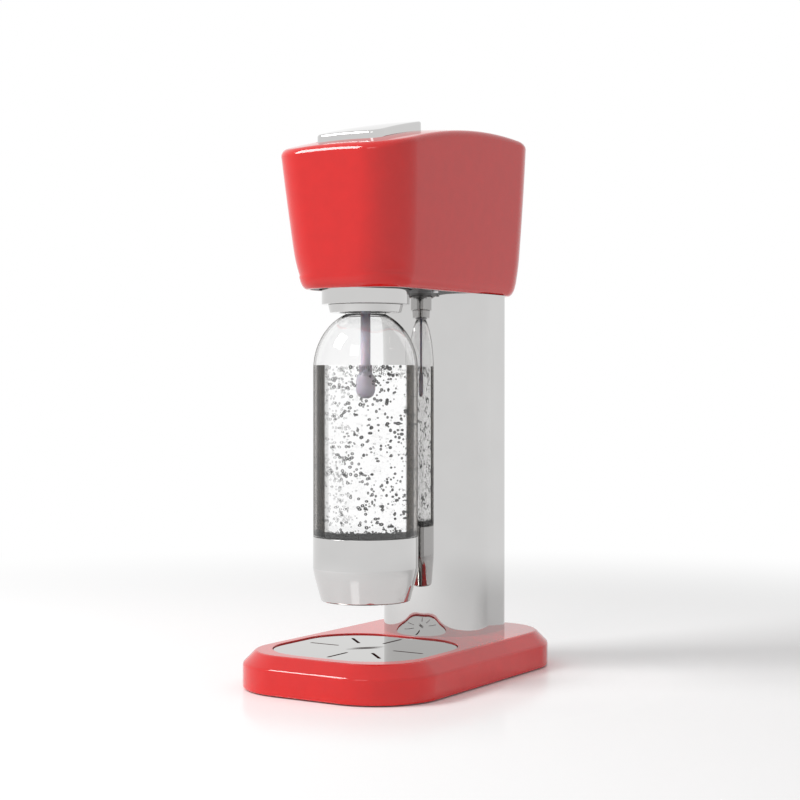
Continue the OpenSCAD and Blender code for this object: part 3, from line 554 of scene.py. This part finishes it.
def head_rings(inset):
    """Rings of the hood from its bottom edge over its walls and top to the plate's opening"""
    rings = []
    for i in range(roll_steps):
        inwards, upwards = roll(i / roll_steps)
        turn = inset + lower_bend(0) + (roll_width - lower_bend(0)) * inwards
        z = head_low.z + roll_height * upwards
        rings.append(head_ring(
            head_low_half - turn, head_low_front + turn, head_high.y - turn, head_corner - turn,
            lambda x, y: z))
    walls_z = head_low.z + roll_height
    for i in range(wall_steps + 1):
        s = i / wall_steps
        half = head_low_half + (head_top_half - head_low_half) * s + 4 * head_bulge * s * (1 - s) - inset
        front = head_low_front + (head_low.y - head_low_front) * s + inset
        drawn_in = lower_bend(s)
        rings.append(head_ring(
            half - drawn_in, front + drawn_in, head_high.y - inset, head_corner - inset,
            lambda x, y: walls_z + s * (head_height(x, y, inset + head_edge) - walls_z)))
    for i in range(1, edge_steps + 1):
        a = math.pi / 2 * i / edge_steps
        turn = inset + head_edge * (1 - math.cos(a))
        rings.append(head_ring(
            head_top_half - turn, head_low.y + turn, head_high.y - turn, head_corner - turn,
            lambda x, y: head_height(x, y, inset + head_edge * (1 - math.sin(a)))))
    rim = rings[-1]
    lip = outline(
        plate_half + plate_gap + lip_radius,
        plate_front - plate_gap - lip_radius,
        plate_back + plate_gap + lip_radius,
        plate_corner + plate_gap + lip_radius,
        head_arcs,
        head_sides,
    )
    for i in range(1, top_steps + 1):
        ring = []
        for (x, y, _), (u, v) in zip(rim, lip):
            across = x + (u - x) * i / top_steps
            along = y + (v - y) * i / top_steps
            ring.append((across, along, head_height(across, along, inset)))
        rings.append(ring)
    return rings


def opening_lip():
    """Rings of the soft lip round the plate's opening"""
    rings = []
    for i in range(1, lip_steps + 1):
        a = math.pi / 2 * i / lip_steps
        out = lip_radius * (1 - math.sin(a))
        deep = lip_radius * (1 - math.cos(a))
        rings.append(head_ring(
            plate_half + plate_gap + out, plate_front - plate_gap - out, plate_back + plate_gap + out,
            plate_corner + plate_gap + out, lambda x, y: head_height(x, y, deep)))
    rings.append(head_ring(
        plate_half + plate_gap, plate_front - plate_gap, plate_back + plate_gap, plate_corner + plate_gap,
        lambda x, y: head_height(x, y, head_wall)))
    return rings


head_shape = skin(head_rings(0) + opening_lip() + head_rings(head_wall)[::-1], capped=False)
piece("head_casing", head_shape, red_plastic, "stand", "red_gloss", "head_shell")
dress("head_floor", dark_plastic)

# Works in the head
# Moulded walls carry the valve block and the lever. The block is a dark moulding, and a soft tube
# leads from it to the elbow at the holder's pin.
dress("head_chassis", cage_plastic)
dress("valve_block", dark_plastic)
dress("press_lever", dark_plastic)
dress("valve_seal", foot_rubber)
dress("neck_seal", foot_rubber)
dress("gas_hose", surface("soft_tube", (0.72, 0.72, 0.70), 0.35, grain=500, depth=0.00001))

# Press plate
# A thick chromed cap with soft edges and a slightly crowned top. It lies on the lever, slopes down to
# the front and moves in the hood's opening.
cap_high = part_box("press_plate")[1]
cap_slope = math.tan(math.radians(12.9))
cap_height = 13 * mm
cap_edge = 1.9 * mm
cap_crown = 0.9 * mm
cap_lip = 2 * mm


def cap_top(x, y, drop):
    """Height of the cap's crowned top at a place, lowered by drop"""
    t = (y - plate_front) / (plate_back - plate_front)
    crown = cap_crown * (4 * t * (1 - t) - (x / plate_half) ** 2)
    return cap_high.z + (y - plate_back) * cap_slope - drop + crown


def cap_shape():
    """Rings of the cap from its lower lip over its side to its middle"""
    rings = []

    def ring(inset, height, share=1.0):
        points = outline(
            (plate_half - inset) * share,
            cap_middle + (plate_front + inset - cap_middle) * share,
            cap_middle + (plate_back - inset - cap_middle) * share,
            (plate_corner - inset) * share,
            12,
            8,
        )
        rings.append([(x, y, height(x, y)) for x, y in points])

    cap_middle = (plate_front + plate_back) / 2
    flat = lambda rise: lambda x, y: cap_high.z + (y - plate_back) * cap_slope - cap_height + rise
    ring(-cap_lip, flat(0))
    ring(-cap_lip, flat(cap_lip))
    ring(0, flat(cap_lip))
    for i in range(0, 9):
        a = math.pi / 2 * i / 8
        drop = cap_edge * (1 - math.sin(a))
        ring(cap_edge * (1 - math.cos(a)), lambda x, y: cap_top(x, y, drop))
    for share in (0.8, 0.6, 0.4, 0.2, 0.05):
        ring(cap_edge, lambda x, y: cap_top(x, y, 0), share)
    return skin(rings)


piece("plate_cap", cap_shape(), chrome, "press", "chrome", "press_plate")

# Bottle collar
# Two turned and chromed rings on a moulded carrier that tilts with the bottle: a wide band under the
# head, and below it a narrower mouth that flares a little upwards.
band_low, band_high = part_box("collar_ring")
mouth_low, mouth_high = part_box("collar_mouth")
band_r = band_high.x
bore_r = 21.1 * mm
mouth_top_r = mouth_high.x
mouth_foot_r = 28.2 * mm
collar_edge = 0.7 * mm
band_wall = 2 * mm


def lathe(profile, steps=144, axis_y=bottle_y):
    """Points and faces of a turned piece: the profile of radius and height ends on the axis or joins up"""
    points, faces, rows = [], [], []
    for r, z in profile:
        if r == 0:
            rows.append([len(points)] * steps)
            points.append((0, axis_y, z))
        else:
            rows.append([len(points) + i for i in range(steps)])
            for i in range(steps):
                a = 2 * math.pi * i / steps
                points.append((r * math.cos(a), axis_y + r * math.sin(a), z))
    pairs = list(zip(rows, rows[1:]))
    if profile[0][0] != 0:
        pairs.append((rows[-1], rows[0]))
    for low, high in pairs:
        for i in range(steps):
            j = (i + 1) % steps
            corners = [low[i], low[j], high[j], high[i]]
            faces.append(tuple(dict.fromkeys(corners)))
    return points, faces


band_profile = [(bore_r, band_low.z)]
band_profile += eased(
    [(bore_r, band_low.z), (band_r, band_low.z), (band_r, band_high.z), (band_r - band_wall, band_high.z)],
    collar_edge,
)[1:]
band_profile.append((band_r - band_wall, band_low.z + band_wall))
band_profile.append((bore_r, band_low.z + band_wall))
mouth_profile = eased(
    [
        (bore_r, mouth_low.z + collar_edge),
        (bore_r, mouth_low.z),
        (mouth_foot_r, mouth_low.z),
        (mouth_top_r, mouth_high.z),
        (bore_r, mouth_high.z),
    ],
    collar_edge,
)
piece("collar_band", lathe(band_profile), chrome, "holder", "chrome", "collar_ring")
piece("collar_flare", lathe(mouth_profile), chrome, "holder", "chrome", "collar_mouth")
dress("holder_yoke", dark_plastic)
dress("thread_insert", cage_plastic)

# Nozzle
# A stem and bulb of milky plastic that reach into the bottle and blow the gas into the water.
stem_low, stem_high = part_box("nozzle_tube")
bulb_low, bulb_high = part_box("nozzle_tip")
stem_r = 3.9 * mm
bulb_r = bulb_high.x
bulb_shares = (
    (0, 0), (0.42, 0), (0.78, 0.1), (0.97, 0.26),
    (1, 0.42), (0.99, 0.62), (0.87, 0.86), (0.7, 0.97),
)


def milky_plastic():
    """Milky grey-violet plastic that lets some light in"""
    material = surface("milky_plastic", (0.50, 0.45, 0.53), 0.22, tint=0.06, grain=160)
    shader = material.node_tree.nodes["Principled BSDF"]
    shader.inputs["Subsurface Weight"].default_value = 0.3
    shader.inputs["Subsurface Scale"].default_value = 0.004
    return material


nozzle_plastic = milky_plastic()
bulb_height = bulb_high.z - bulb_low.z
bulb_profile = [(bulb_r * r, bulb_low.z + bulb_height * z) for r, z in bulb_shares]
bulb_profile += [(stem_r, bulb_high.z), (stem_r - 0.3 * mm, bulb_high.z), (0, bulb_high.z)]
stem_profile = [(0, stem_low.z), (stem_r, stem_low.z), (stem_r, stem_high.z), (0, stem_high.z)]
bulb_shape = lathe(eased(bulb_profile, 1.2 * mm), 48)
piece("nozzle_bulb", bulb_shape, nozzle_plastic, "holder", "nozzle_plastic", "nozzle_tip")
piece("nozzle_stem", lathe(stem_profile, 48), nozzle_plastic, "holder", "nozzle_plastic", "nozzle_tube")

# Bottle
# A clear blown bottle with a round shoulder and a threaded neck. It is filled to the start of its
# shoulder with water that is full of bubbles.
body_low, body_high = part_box("bottle_body")
bottle_r = body_high.x
bottle_wall = 1.2 * mm
shoulder_z = 250 * mm
shoulder_h = 47 * mm
neck_r = 16 * mm
ridge_r = 17 * mm
ridge_height = 2 * mm
ridge_pitch = 5 * mm
cup_low, cup_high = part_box("bottle_cup")
cup_gap = 0.3 * mm
low_r = 40.52 * mm
foot_r = 31.3 * mm
taper_z = cup_low.z + 26 * mm
water_z = 253 * mm
water_overlap = 0.12 * mm


def shoulder(inset, top=None):
    """Profile points of the shoulder, moved in, from its wall to its neck or to a height"""
    last = math.acos((neck_r - inset) / (bottle_r - inset))
    if top is not None:
        last = math.asin((top - shoulder_z) / (shoulder_h - inset))
    return [
        (
            (bottle_r - inset) * math.cos(last * i / 32),
            shoulder_z + (shoulder_h - inset) * math.sin(last * i / 32),
        )
        for i in range(33)
    ]


def neck_ridges():
    """Profile points of the neck's outside, with three ridges of its thread"""
    points = []
    for i in (2, 1, 0):
        z = body_high.z - ridge_height / 2 - ridge_pitch * i - ridge_height
        points += [(neck_r, z), (ridge_r, z + 0.3 * ridge_height), (ridge_r, z + 0.7 * ridge_height)]
        points.append((neck_r, z + ridge_height))
    return points


def clear_glass(name, ior, edges):
    """Clear and glossy, tinted with painted shade by how slanted the eye meets the wall, and light in its
    shadow
    """
    material = bpy.data.materials.new(name)
    material.use_nodes = True
    nodes = material.node_tree.nodes
    links = material.node_tree.links
    nodes.clear()
    out = nodes.new("ShaderNodeOutputMaterial")
    glass = nodes.new("ShaderNodeBsdfGlass")
    glass.inputs["IOR"].default_value = ior
    glass.inputs["Roughness"].default_value = 0
    slant = nodes.new("ShaderNodeLayerWeight")
    slant.inputs["Blend"].default_value = 0.5
    tone = nodes.new("ShaderNodeValToRGB")
    tone.color_ramp.elements.remove(tone.color_ramp.elements[1])
    tone.color_ramp.elements[0].color = (1, 1, 1, 1)
    for position, colour in edges:
        tone.color_ramp.elements.new(position).color = (*colour, 1)
    links.new(slant.outputs["Facing"], tone.inputs["Fac"])
    links.new(tone.outputs["Color"], glass.inputs["Color"])
    ray = nodes.new("ShaderNodeLightPath")
    clear = nodes.new("ShaderNodeBsdfTransparent")
    mix = nodes.new("ShaderNodeMixShader")
    links.new(ray.outputs["Is Shadow Ray"], mix.inputs["Fac"])
    links.new(glass.outputs["BSDF"], mix.inputs[1])
    links.new(clear.outputs["BSDF"], mix.inputs[2])
    links.new(mix.outputs["Shader"], out.inputs["Surface"])
    return material


# painted shade: the bottle's wall turns dark brown at its outline, where the eye meets it slantwise
plastic_edge_shade = ((0.72, (1, 1, 1)), (0.97, (0.10, 0.085, 0.07)))
clear_plastic = clear_glass("clear_plastic", 1.5, plastic_edge_shade)
bottle_profile = [(0, body_low.z), (foot_r, body_low.z), (low_r, taper_z), (low_r, cup_high.z + cup_gap)]
bottle_profile += [(bottle_r, cup_high.z + cup_gap)] + shoulder(0)
bottle_profile += neck_ridges()
bottle_profile += [(neck_r, body_high.z), (neck_r - bottle_wall, body_high.z)]
bottle_profile += shoulder(bottle_wall)[::-1]
bottle_profile += [(bottle_r - bottle_wall, cup_high.z), (low_r - bottle_wall, cup_high.z - bottle_wall)]
bottle_profile += [(low_r - bottle_wall, taper_z), (foot_r - bottle_wall, body_low.z + bottle_wall)]
bottle_profile.append((0, body_low.z + bottle_wall))
piece("bottle_shell", lathe(bottle_profile), clear_plastic, "bottle", "clear_bottle", "bottle_body")

# painted shade: the water turns dark in a band near its outline, where the eye meets it slantwise, and grey
# from there to the outline
water_band_shade = (0.06, 0.05, 0.04)
water_painted_edges = ((0.15, (1, 1, 1)), (0.162, water_band_shade), (0.222, water_band_shade), (0.238, (0.45, 0.43, 0.41)))
water = clear_glass("water", 1.33, water_painted_edges)
wet = bottle_wall - water_overlap
water_profile = [(0, body_low.z + wet), (foot_r - wet, body_low.z + wet), (low_r - wet, taper_z)]
water_profile += [(low_r - wet, cup_high.z), (bottle_r - wet, cup_high.z + bottle_wall)]
water_profile += shoulder(wet, water_z)
water_profile.append((0, water_z))
piece("water_fill", lathe(water_profile), water, "bottle", "clear_bottle")

# Bubbles
# Gas bubbles in the water. Most look black, because they turn the light away, and the fine ones at one
# side look like rings. More of them lie on the water's floor and under its surface.
# sideways as the camera looks, which only says where bubbles go
bubble_reach = 38 * mm
view_side = (0.8467, 0.532)


def bubble_look(name, edge_from, edge_to):
    """Painted shade, dark at the rim of each bubble for the light it turns away, and clear in its middle"""
    material = bpy.data.materials.new(name)
    material.use_nodes = True
    nodes = material.node_tree.nodes
    links = material.node_tree.links
    nodes.clear()
    out = nodes.new("ShaderNodeOutputMaterial")
    dark = nodes.new("ShaderNodeBsdfGlossy")
    dark.inputs["Color"].default_value = (0.02, 0.019, 0.018, 1)
    dark.inputs["Roughness"].default_value = 0.15
    clear = nodes.new("ShaderNodeBsdfTransparent")
    slant = nodes.new("ShaderNodeLayerWeight")
    slant.inputs["Blend"].default_value = 0.5
    edge = nodes.new("ShaderNodeMapRange")
    edge.inputs["From Min"].default_value = edge_from
    edge.inputs["From Max"].default_value = edge_to
    mix = nodes.new("ShaderNodeMixShader")
    links.new(slant.outputs["Facing"], edge.inputs["Value"])
    links.new(edge.outputs["Result"], mix.inputs["Fac"])
    links.new(clear.outputs["BSDF"], mix.inputs[1])
    links.new(dark.outputs["BSDF"], mix.inputs[2])
    links.new(mix.outputs["Shader"], out.inputs["Surface"])
    return material


def ball(rows=5, around=8):
    """Points and faces of a small round ball of unit size"""
    points = [(0, 0, -1)]
    for k in range(1, rows):
        a = math.pi * k / rows
        for i in range(around):
            b = 2 * math.pi * i / around
            points.append((math.sin(a) * math.cos(b), math.sin(a) * math.sin(b), -math.cos(a)))
    points.append((0, 0, 1))
    top = len(points) - 1
    faces = []
    for i in range(around):
        j = (i + 1) % around
        faces.append((0, 1 + j, 1 + i))
        for k in range(rows - 2):
            a, b = 1 + k * around, 1 + (k + 1) * around
            faces.append((a + i, a + j, b + j, b + i))
        faces.append((top - around + i, top - around + j, top))
    return points, faces


def bubble_field(draw, count, swarm, sizes, low, high, side_from, side_to):
    """Bubbles in swarms, between two heights and between two places across the eye's view"""
    places = []
    while len(places) < count:
        a = draw.uniform(0, 2 * math.pi)
        r = bubble_reach * math.sqrt(draw.random())
        middle = (r * math.cos(a), r * math.sin(a), draw.uniform(low, high))
        across = middle[0] * view_side[0] + middle[1] * view_side[1]
        if not side_from <= across <= side_to:
            continue
        spread = draw.uniform(1.0, 3.0) * mm
        for _ in range(draw.randint(*swarm)):
            x, y, z = (c + draw.gauss(0, spread) for c in middle)
            size = draw.uniform(*sizes) * mm
            z = min(max(z, low), high)
            if math.hypot(x, y) + size < bubble_reach:
                flat = draw.uniform(0.62, 0.85)
                tall = size * draw.uniform(0.8, 1.05)
                places.append((x, y + bottle_y, z, size * flat, size * flat, tall))
    return places


def bubble_shape(places):
    """Many bubbles as one set of points and faces"""
    unit_points, unit_faces = ball()
    points, faces = [], []
    for x, y, z, w, d, h in places:
        start = len(points)
        points += [(x + w * u, y + d * v, z + h * t) for u, v, t in unit_points]
        faces += [tuple(start + i for i in f) for f in unit_faces]
    return points, faces


draw_bubbles = random.Random(11)
water_low = cup_high.z + 0.4 * mm
water_top = water_z - 1.3 * mm
wide = bubble_reach
# how many, how many together, sizes in mm, lowest and highest place, and from where to where sideways
dark_fields = (
    (430, (1, 4), (0.55, 1.5), water_low, water_top, -0.45 * wide, wide),
    (300, (3, 7), (0.3, 0.8), water_low, water_top, 0.72 * wide, wide),
    (420, (2, 6), (0.4, 1.1), water_low, water_low + 2.2 * mm, -wide, wide),
)
fine_fields = (
    (620, (2, 6), (0.5, 1.1), water_low, water_top, -wide, -0.30 * wide),
    (200, (1, 3), (0.3, 0.8), water_low, water_top, -0.3 * wide, wide),
    (170, (2, 6), (0.5, 1.2), water_top - 7 * mm, water_top, -wide, wide),
)
dark_bubbles = [place for field in dark_fields for place in bubble_field(draw_bubbles, *field)]
fine_bubbles = [place for field in fine_fields for place in bubble_field(draw_bubbles, *field)]
dark_look = bubble_look("dark_bubble", 0.02, 0.12)
ring_look = bubble_look("fine_bubble", 0.18, 0.55)
piece("bubbles", bubble_shape(dark_bubbles), dark_look, "bottle", "clear_bottle")
piece("fine_bubbles", bubble_shape(fine_bubbles), ring_look, "bottle", "clear_bottle")

# Bottle foot
# A spun and chromed metal cup that the bottle stands in, tapered to its foot. It grips the bottle's
# lower wall, and its taper bends in gently below a crisp edge.
cup_wall = 1.1 * mm
cup_foot_r = 35.4 * mm
cup_bend = 1.2 * mm
cup_r = cup_high.x
rim_z = cup_high.z - 2 * cup_wall
taper_drop = taper_z - cup_low.z
taper_turn = cup_r - cup_foot_r
taper_slope = 0.5
taper_bend = 1 / 3
taper_steps = 8
taper_edge = 0.4 * mm
full_slope = (1 - taper_slope * taper_bend / 2) / (1 - taper_bend / 2)


def turned_in(share):
    """How far the taper has turned in, at a share of its height from the top, as far as its bend goes"""
    return taper_turn * (taper_slope * share + (full_slope - taper_slope) / 2 / taper_bend * share**2)


knee = (cup_r - turned_in(taper_bend), taper_z - taper_drop * taper_bend)
cup_profile = eased([(0, cup_low.z), (cup_foot_r, cup_low.z), knee], cup_bend, 8)
for i in range(taper_steps - 1, -1, -1):
    share = taper_bend * i / taper_steps
    cup_profile.append((cup_r - turned_in(share), taper_z - taper_drop * share))
cup_profile.append((cup_r, taper_z + taper_edge))
cup_profile.append((cup_r, rim_z))
cup_profile += eased(
    [(cup_r, rim_z), (cup_r, cup_high.z), (cup_r - cup_wall, cup_high.z), (cup_r - cup_wall, taper_z)],
    0.3 * cup_wall,
)[1:]
cup_profile += [(cup_foot_r - cup_wall, cup_low.z + cup_wall), (0, cup_low.z + cup_wall)]
piece("foot_cup", lathe(cup_profile), chrome, "bottle_foot", "chrome", "bottle_cup")

# Studio floor
# A plain pale floor, a little glossy where the object stands. It is lifted to white away from the
# object, and keeps the object's shadow.
floor_half = 5.0
floor_pale = (0.95, 0.95, 0.95, 1)
floor_rough = 0.13
gloss_near = 0.17
gloss_rim = 0.30
gloss_share = 0.16
shadow_reach = 0.5
floor_rim = 1.1
lift_near = 0.03
lift_far = 1.0


class Tree:
    """Short names for the steps of building a material's nodes"""

    def __init__(self, owner):
        owner.use_nodes = True
        self.nodes = owner.node_tree.nodes
        self.links = owner.node_tree.links

    def join(self, source, target):
        """Links an output to an input, or sets the input's value"""
        if isinstance(source, bpy.types.NodeSocket):
            self.links.new(source, target)
        else:
            target.default_value = source

    def maths(self, kind, *values):
        """The result of one calculation"""
        node = self.nodes.new("ShaderNodeMath")
        node.operation = kind
        for value, target in zip(values, node.inputs):
            self.join(value, target)
        return node.outputs["Value"]

    def ease(self, value, low, high, to_low=0.0, to_high=1.0):
        """A smooth step between two values"""
        node = self.nodes.new("ShaderNodeMapRange")
        node.interpolation_type = "SMOOTHSTEP"
        settings = (value, low, high, to_low, to_high)
        for name, setting in zip(("Value", "From Min", "From Max", "To Min", "To Max"), settings):
            self.join(setting, node.inputs[name])
        return node.outputs["Result"]

    def mixed(self, share, first, second):
        """A colour between two colours"""
        node = self.nodes.new("ShaderNodeMix")
        node.data_type = "RGBA"
        self.join(share, node.inputs[0])
        self.join(first, node.inputs[6])
        self.join(second, node.inputs[7])
        return node.outputs[2]

    def shown(self):
        """One for what the eye sees, straight, in metal or through glass, and nothing for what is lit"""
        ray = self.nodes.new("ShaderNodeLightPath").outputs
        mirrored = self.maths("MAXIMUM", ray["Is Glossy Ray"], ray["Is Transmission Ray"])
        return self.maths("MAXIMUM", ray["Is Camera Ray"], mirrored)

    def glow(self, colour, strength=1.0):
        """Light of one colour"""
        node = self.nodes.new("ShaderNodeEmission")
        self.join(colour, node.inputs["Color"])
        self.join(strength, node.inputs["Strength"])
        return node.outputs["Emission"]

    def together(self, first, second):
        """Two shaders added"""
        node = self.nodes.new("ShaderNodeAddShader")
        self.join(first, node.inputs[0])
        self.join(second, node.inputs[1])
        return node.outputs["Shader"]

    def either(self, share, first, second):
        """One shader or the other"""
        node = self.nodes.new("ShaderNodeMixShader")
        self.join(share, node.inputs[0])
        self.join(first, node.inputs[1])
        self.join(second, node.inputs[2])
        return node.outputs["Shader"]


def floor_look():
    """Pale and slightly glossy, and lifted to white away from the object"""
    material = bpy.data.materials.new("studio_floor")
    tree = Tree(material)
    tree.nodes.remove(tree.nodes["Principled BSDF"])
    pale = tree.nodes.new("ShaderNodeBsdfDiffuse")
    pale.inputs["Color"].default_value = floor_pale
    gloss = tree.nodes.new("ShaderNodeBsdfGlossy")
    gloss.inputs["Color"].default_value = (gloss_share, gloss_share, gloss_share, 1)
    gloss.inputs["Roughness"].default_value = floor_rough
    place = tree.nodes.new("ShaderNodeTexCoord")
    far = tree.nodes.new("ShaderNodeVectorMath")
    far.operation = "LENGTH"
    tree.join(place.outputs["Object"], far.inputs[0])
    lift = tree.ease(far.outputs["Value"], shadow_reach, floor_rim, lift_near, lift_far)
    shown = tree.shown()
    plain = tree.glow((1, 1, 1, 1), tree.maths("MULTIPLY", gloss_share, shown))
    faded = tree.ease(far.outputs["Value"], gloss_near, gloss_rim)
    sheen = tree.either(faded, gloss.outputs["BSDF"], plain)
    bare = tree.together(pale.outputs["BSDF"], sheen)
    finish = tree.either(tree.maths("MULTIPLY", lift, shown), bare, tree.glow((1, 1, 1, 1)))
    tree.join(finish, tree.nodes["Material Output"].inputs["Surface"])
    material.cycles.emission_sampling = "NONE"
    return material


def sheet_of(name, points, faces, material):
    """A stage piece, which isn't part of the object"""
    mesh = bpy.data.meshes.new(name)
    mesh.from_pydata(points, [], faces)
    mesh.materials.append(material)
    made = bpy.data.objects.new(name, mesh)
    bpy.context.scene.collection.objects.link(made)
    return made


floor_points = [(x * floor_half, y * floor_half, 0) for x, y in ((-1, -1), (1, -1), (1, 1), (-1, 1))]
sheet_of("floor", floor_points, [(0, 1, 2, 3)], floor_look())

# Studio light and camera
# A soft lamp at the left front and a weaker one in front, a plain level of light all round, and a
# camera at the photograph's angle. The background is white to the eye, in metal and through glass.
camera_turn = math.radians(32.14)
camera_tilt = math.radians(0.586)
camera_place = (0.73899, -1.17798, 0.23938)
camera_lens = 76.5
room_light = 0.46


def room_look():
    """White to the eye, in metal and through glass, and a plain level of light to the rest"""
    world = bpy.data.worlds.new("white_room")
    tree = Tree(world)
    level = (room_light, room_light, room_light, 1)
    tree.join(tree.mixed(tree.shown(), level, (1, 1, 1, 1)), tree.nodes["Background"].inputs["Color"])
    world.cycles.sampling_method = "NONE"
    bpy.context.scene.world = world


def lamp(name, place, aim, size, power):
    """A soft square lamp that is pointed at a place"""
    light = bpy.data.lights.new(name, "AREA")
    light.size = size
    light.energy = power
    made = bpy.data.objects.new(name, light)
    bpy.context.scene.collection.objects.link(made)
    made.location = place
    reach = [a - p for a, p in zip(aim, place)]
    flat = math.hypot(reach[0], reach[1])
    made.rotation_euler = (math.atan2(flat, -reach[2]), 0, math.atan2(reach[1], reach[0]) - math.pi / 2)
    return made


room_look()
middle = (0, 0, 0.22)
lamp("left_lamp", place=(-1.0, -1.05, 1.45), aim=middle, size=0.7, power=22)
lamp("front_lamp", place=(0.15, -1.6, 1.2), aim=middle, size=0.6, power=2)

camera_data = bpy.data.cameras.new("camera")
camera_data.lens = camera_lens
camera_data.sensor_width = 36
camera = bpy.data.objects.new("camera", camera_data)
camera.location = camera_place
camera.rotation_euler = (math.pi / 2 - camera_tilt, 0, camera_turn)
bpy.context.scene.collection.objects.link(camera)
bpy.context.scene.camera = camera
bpy.context.scene.view_settings.view_transform = "Standard"
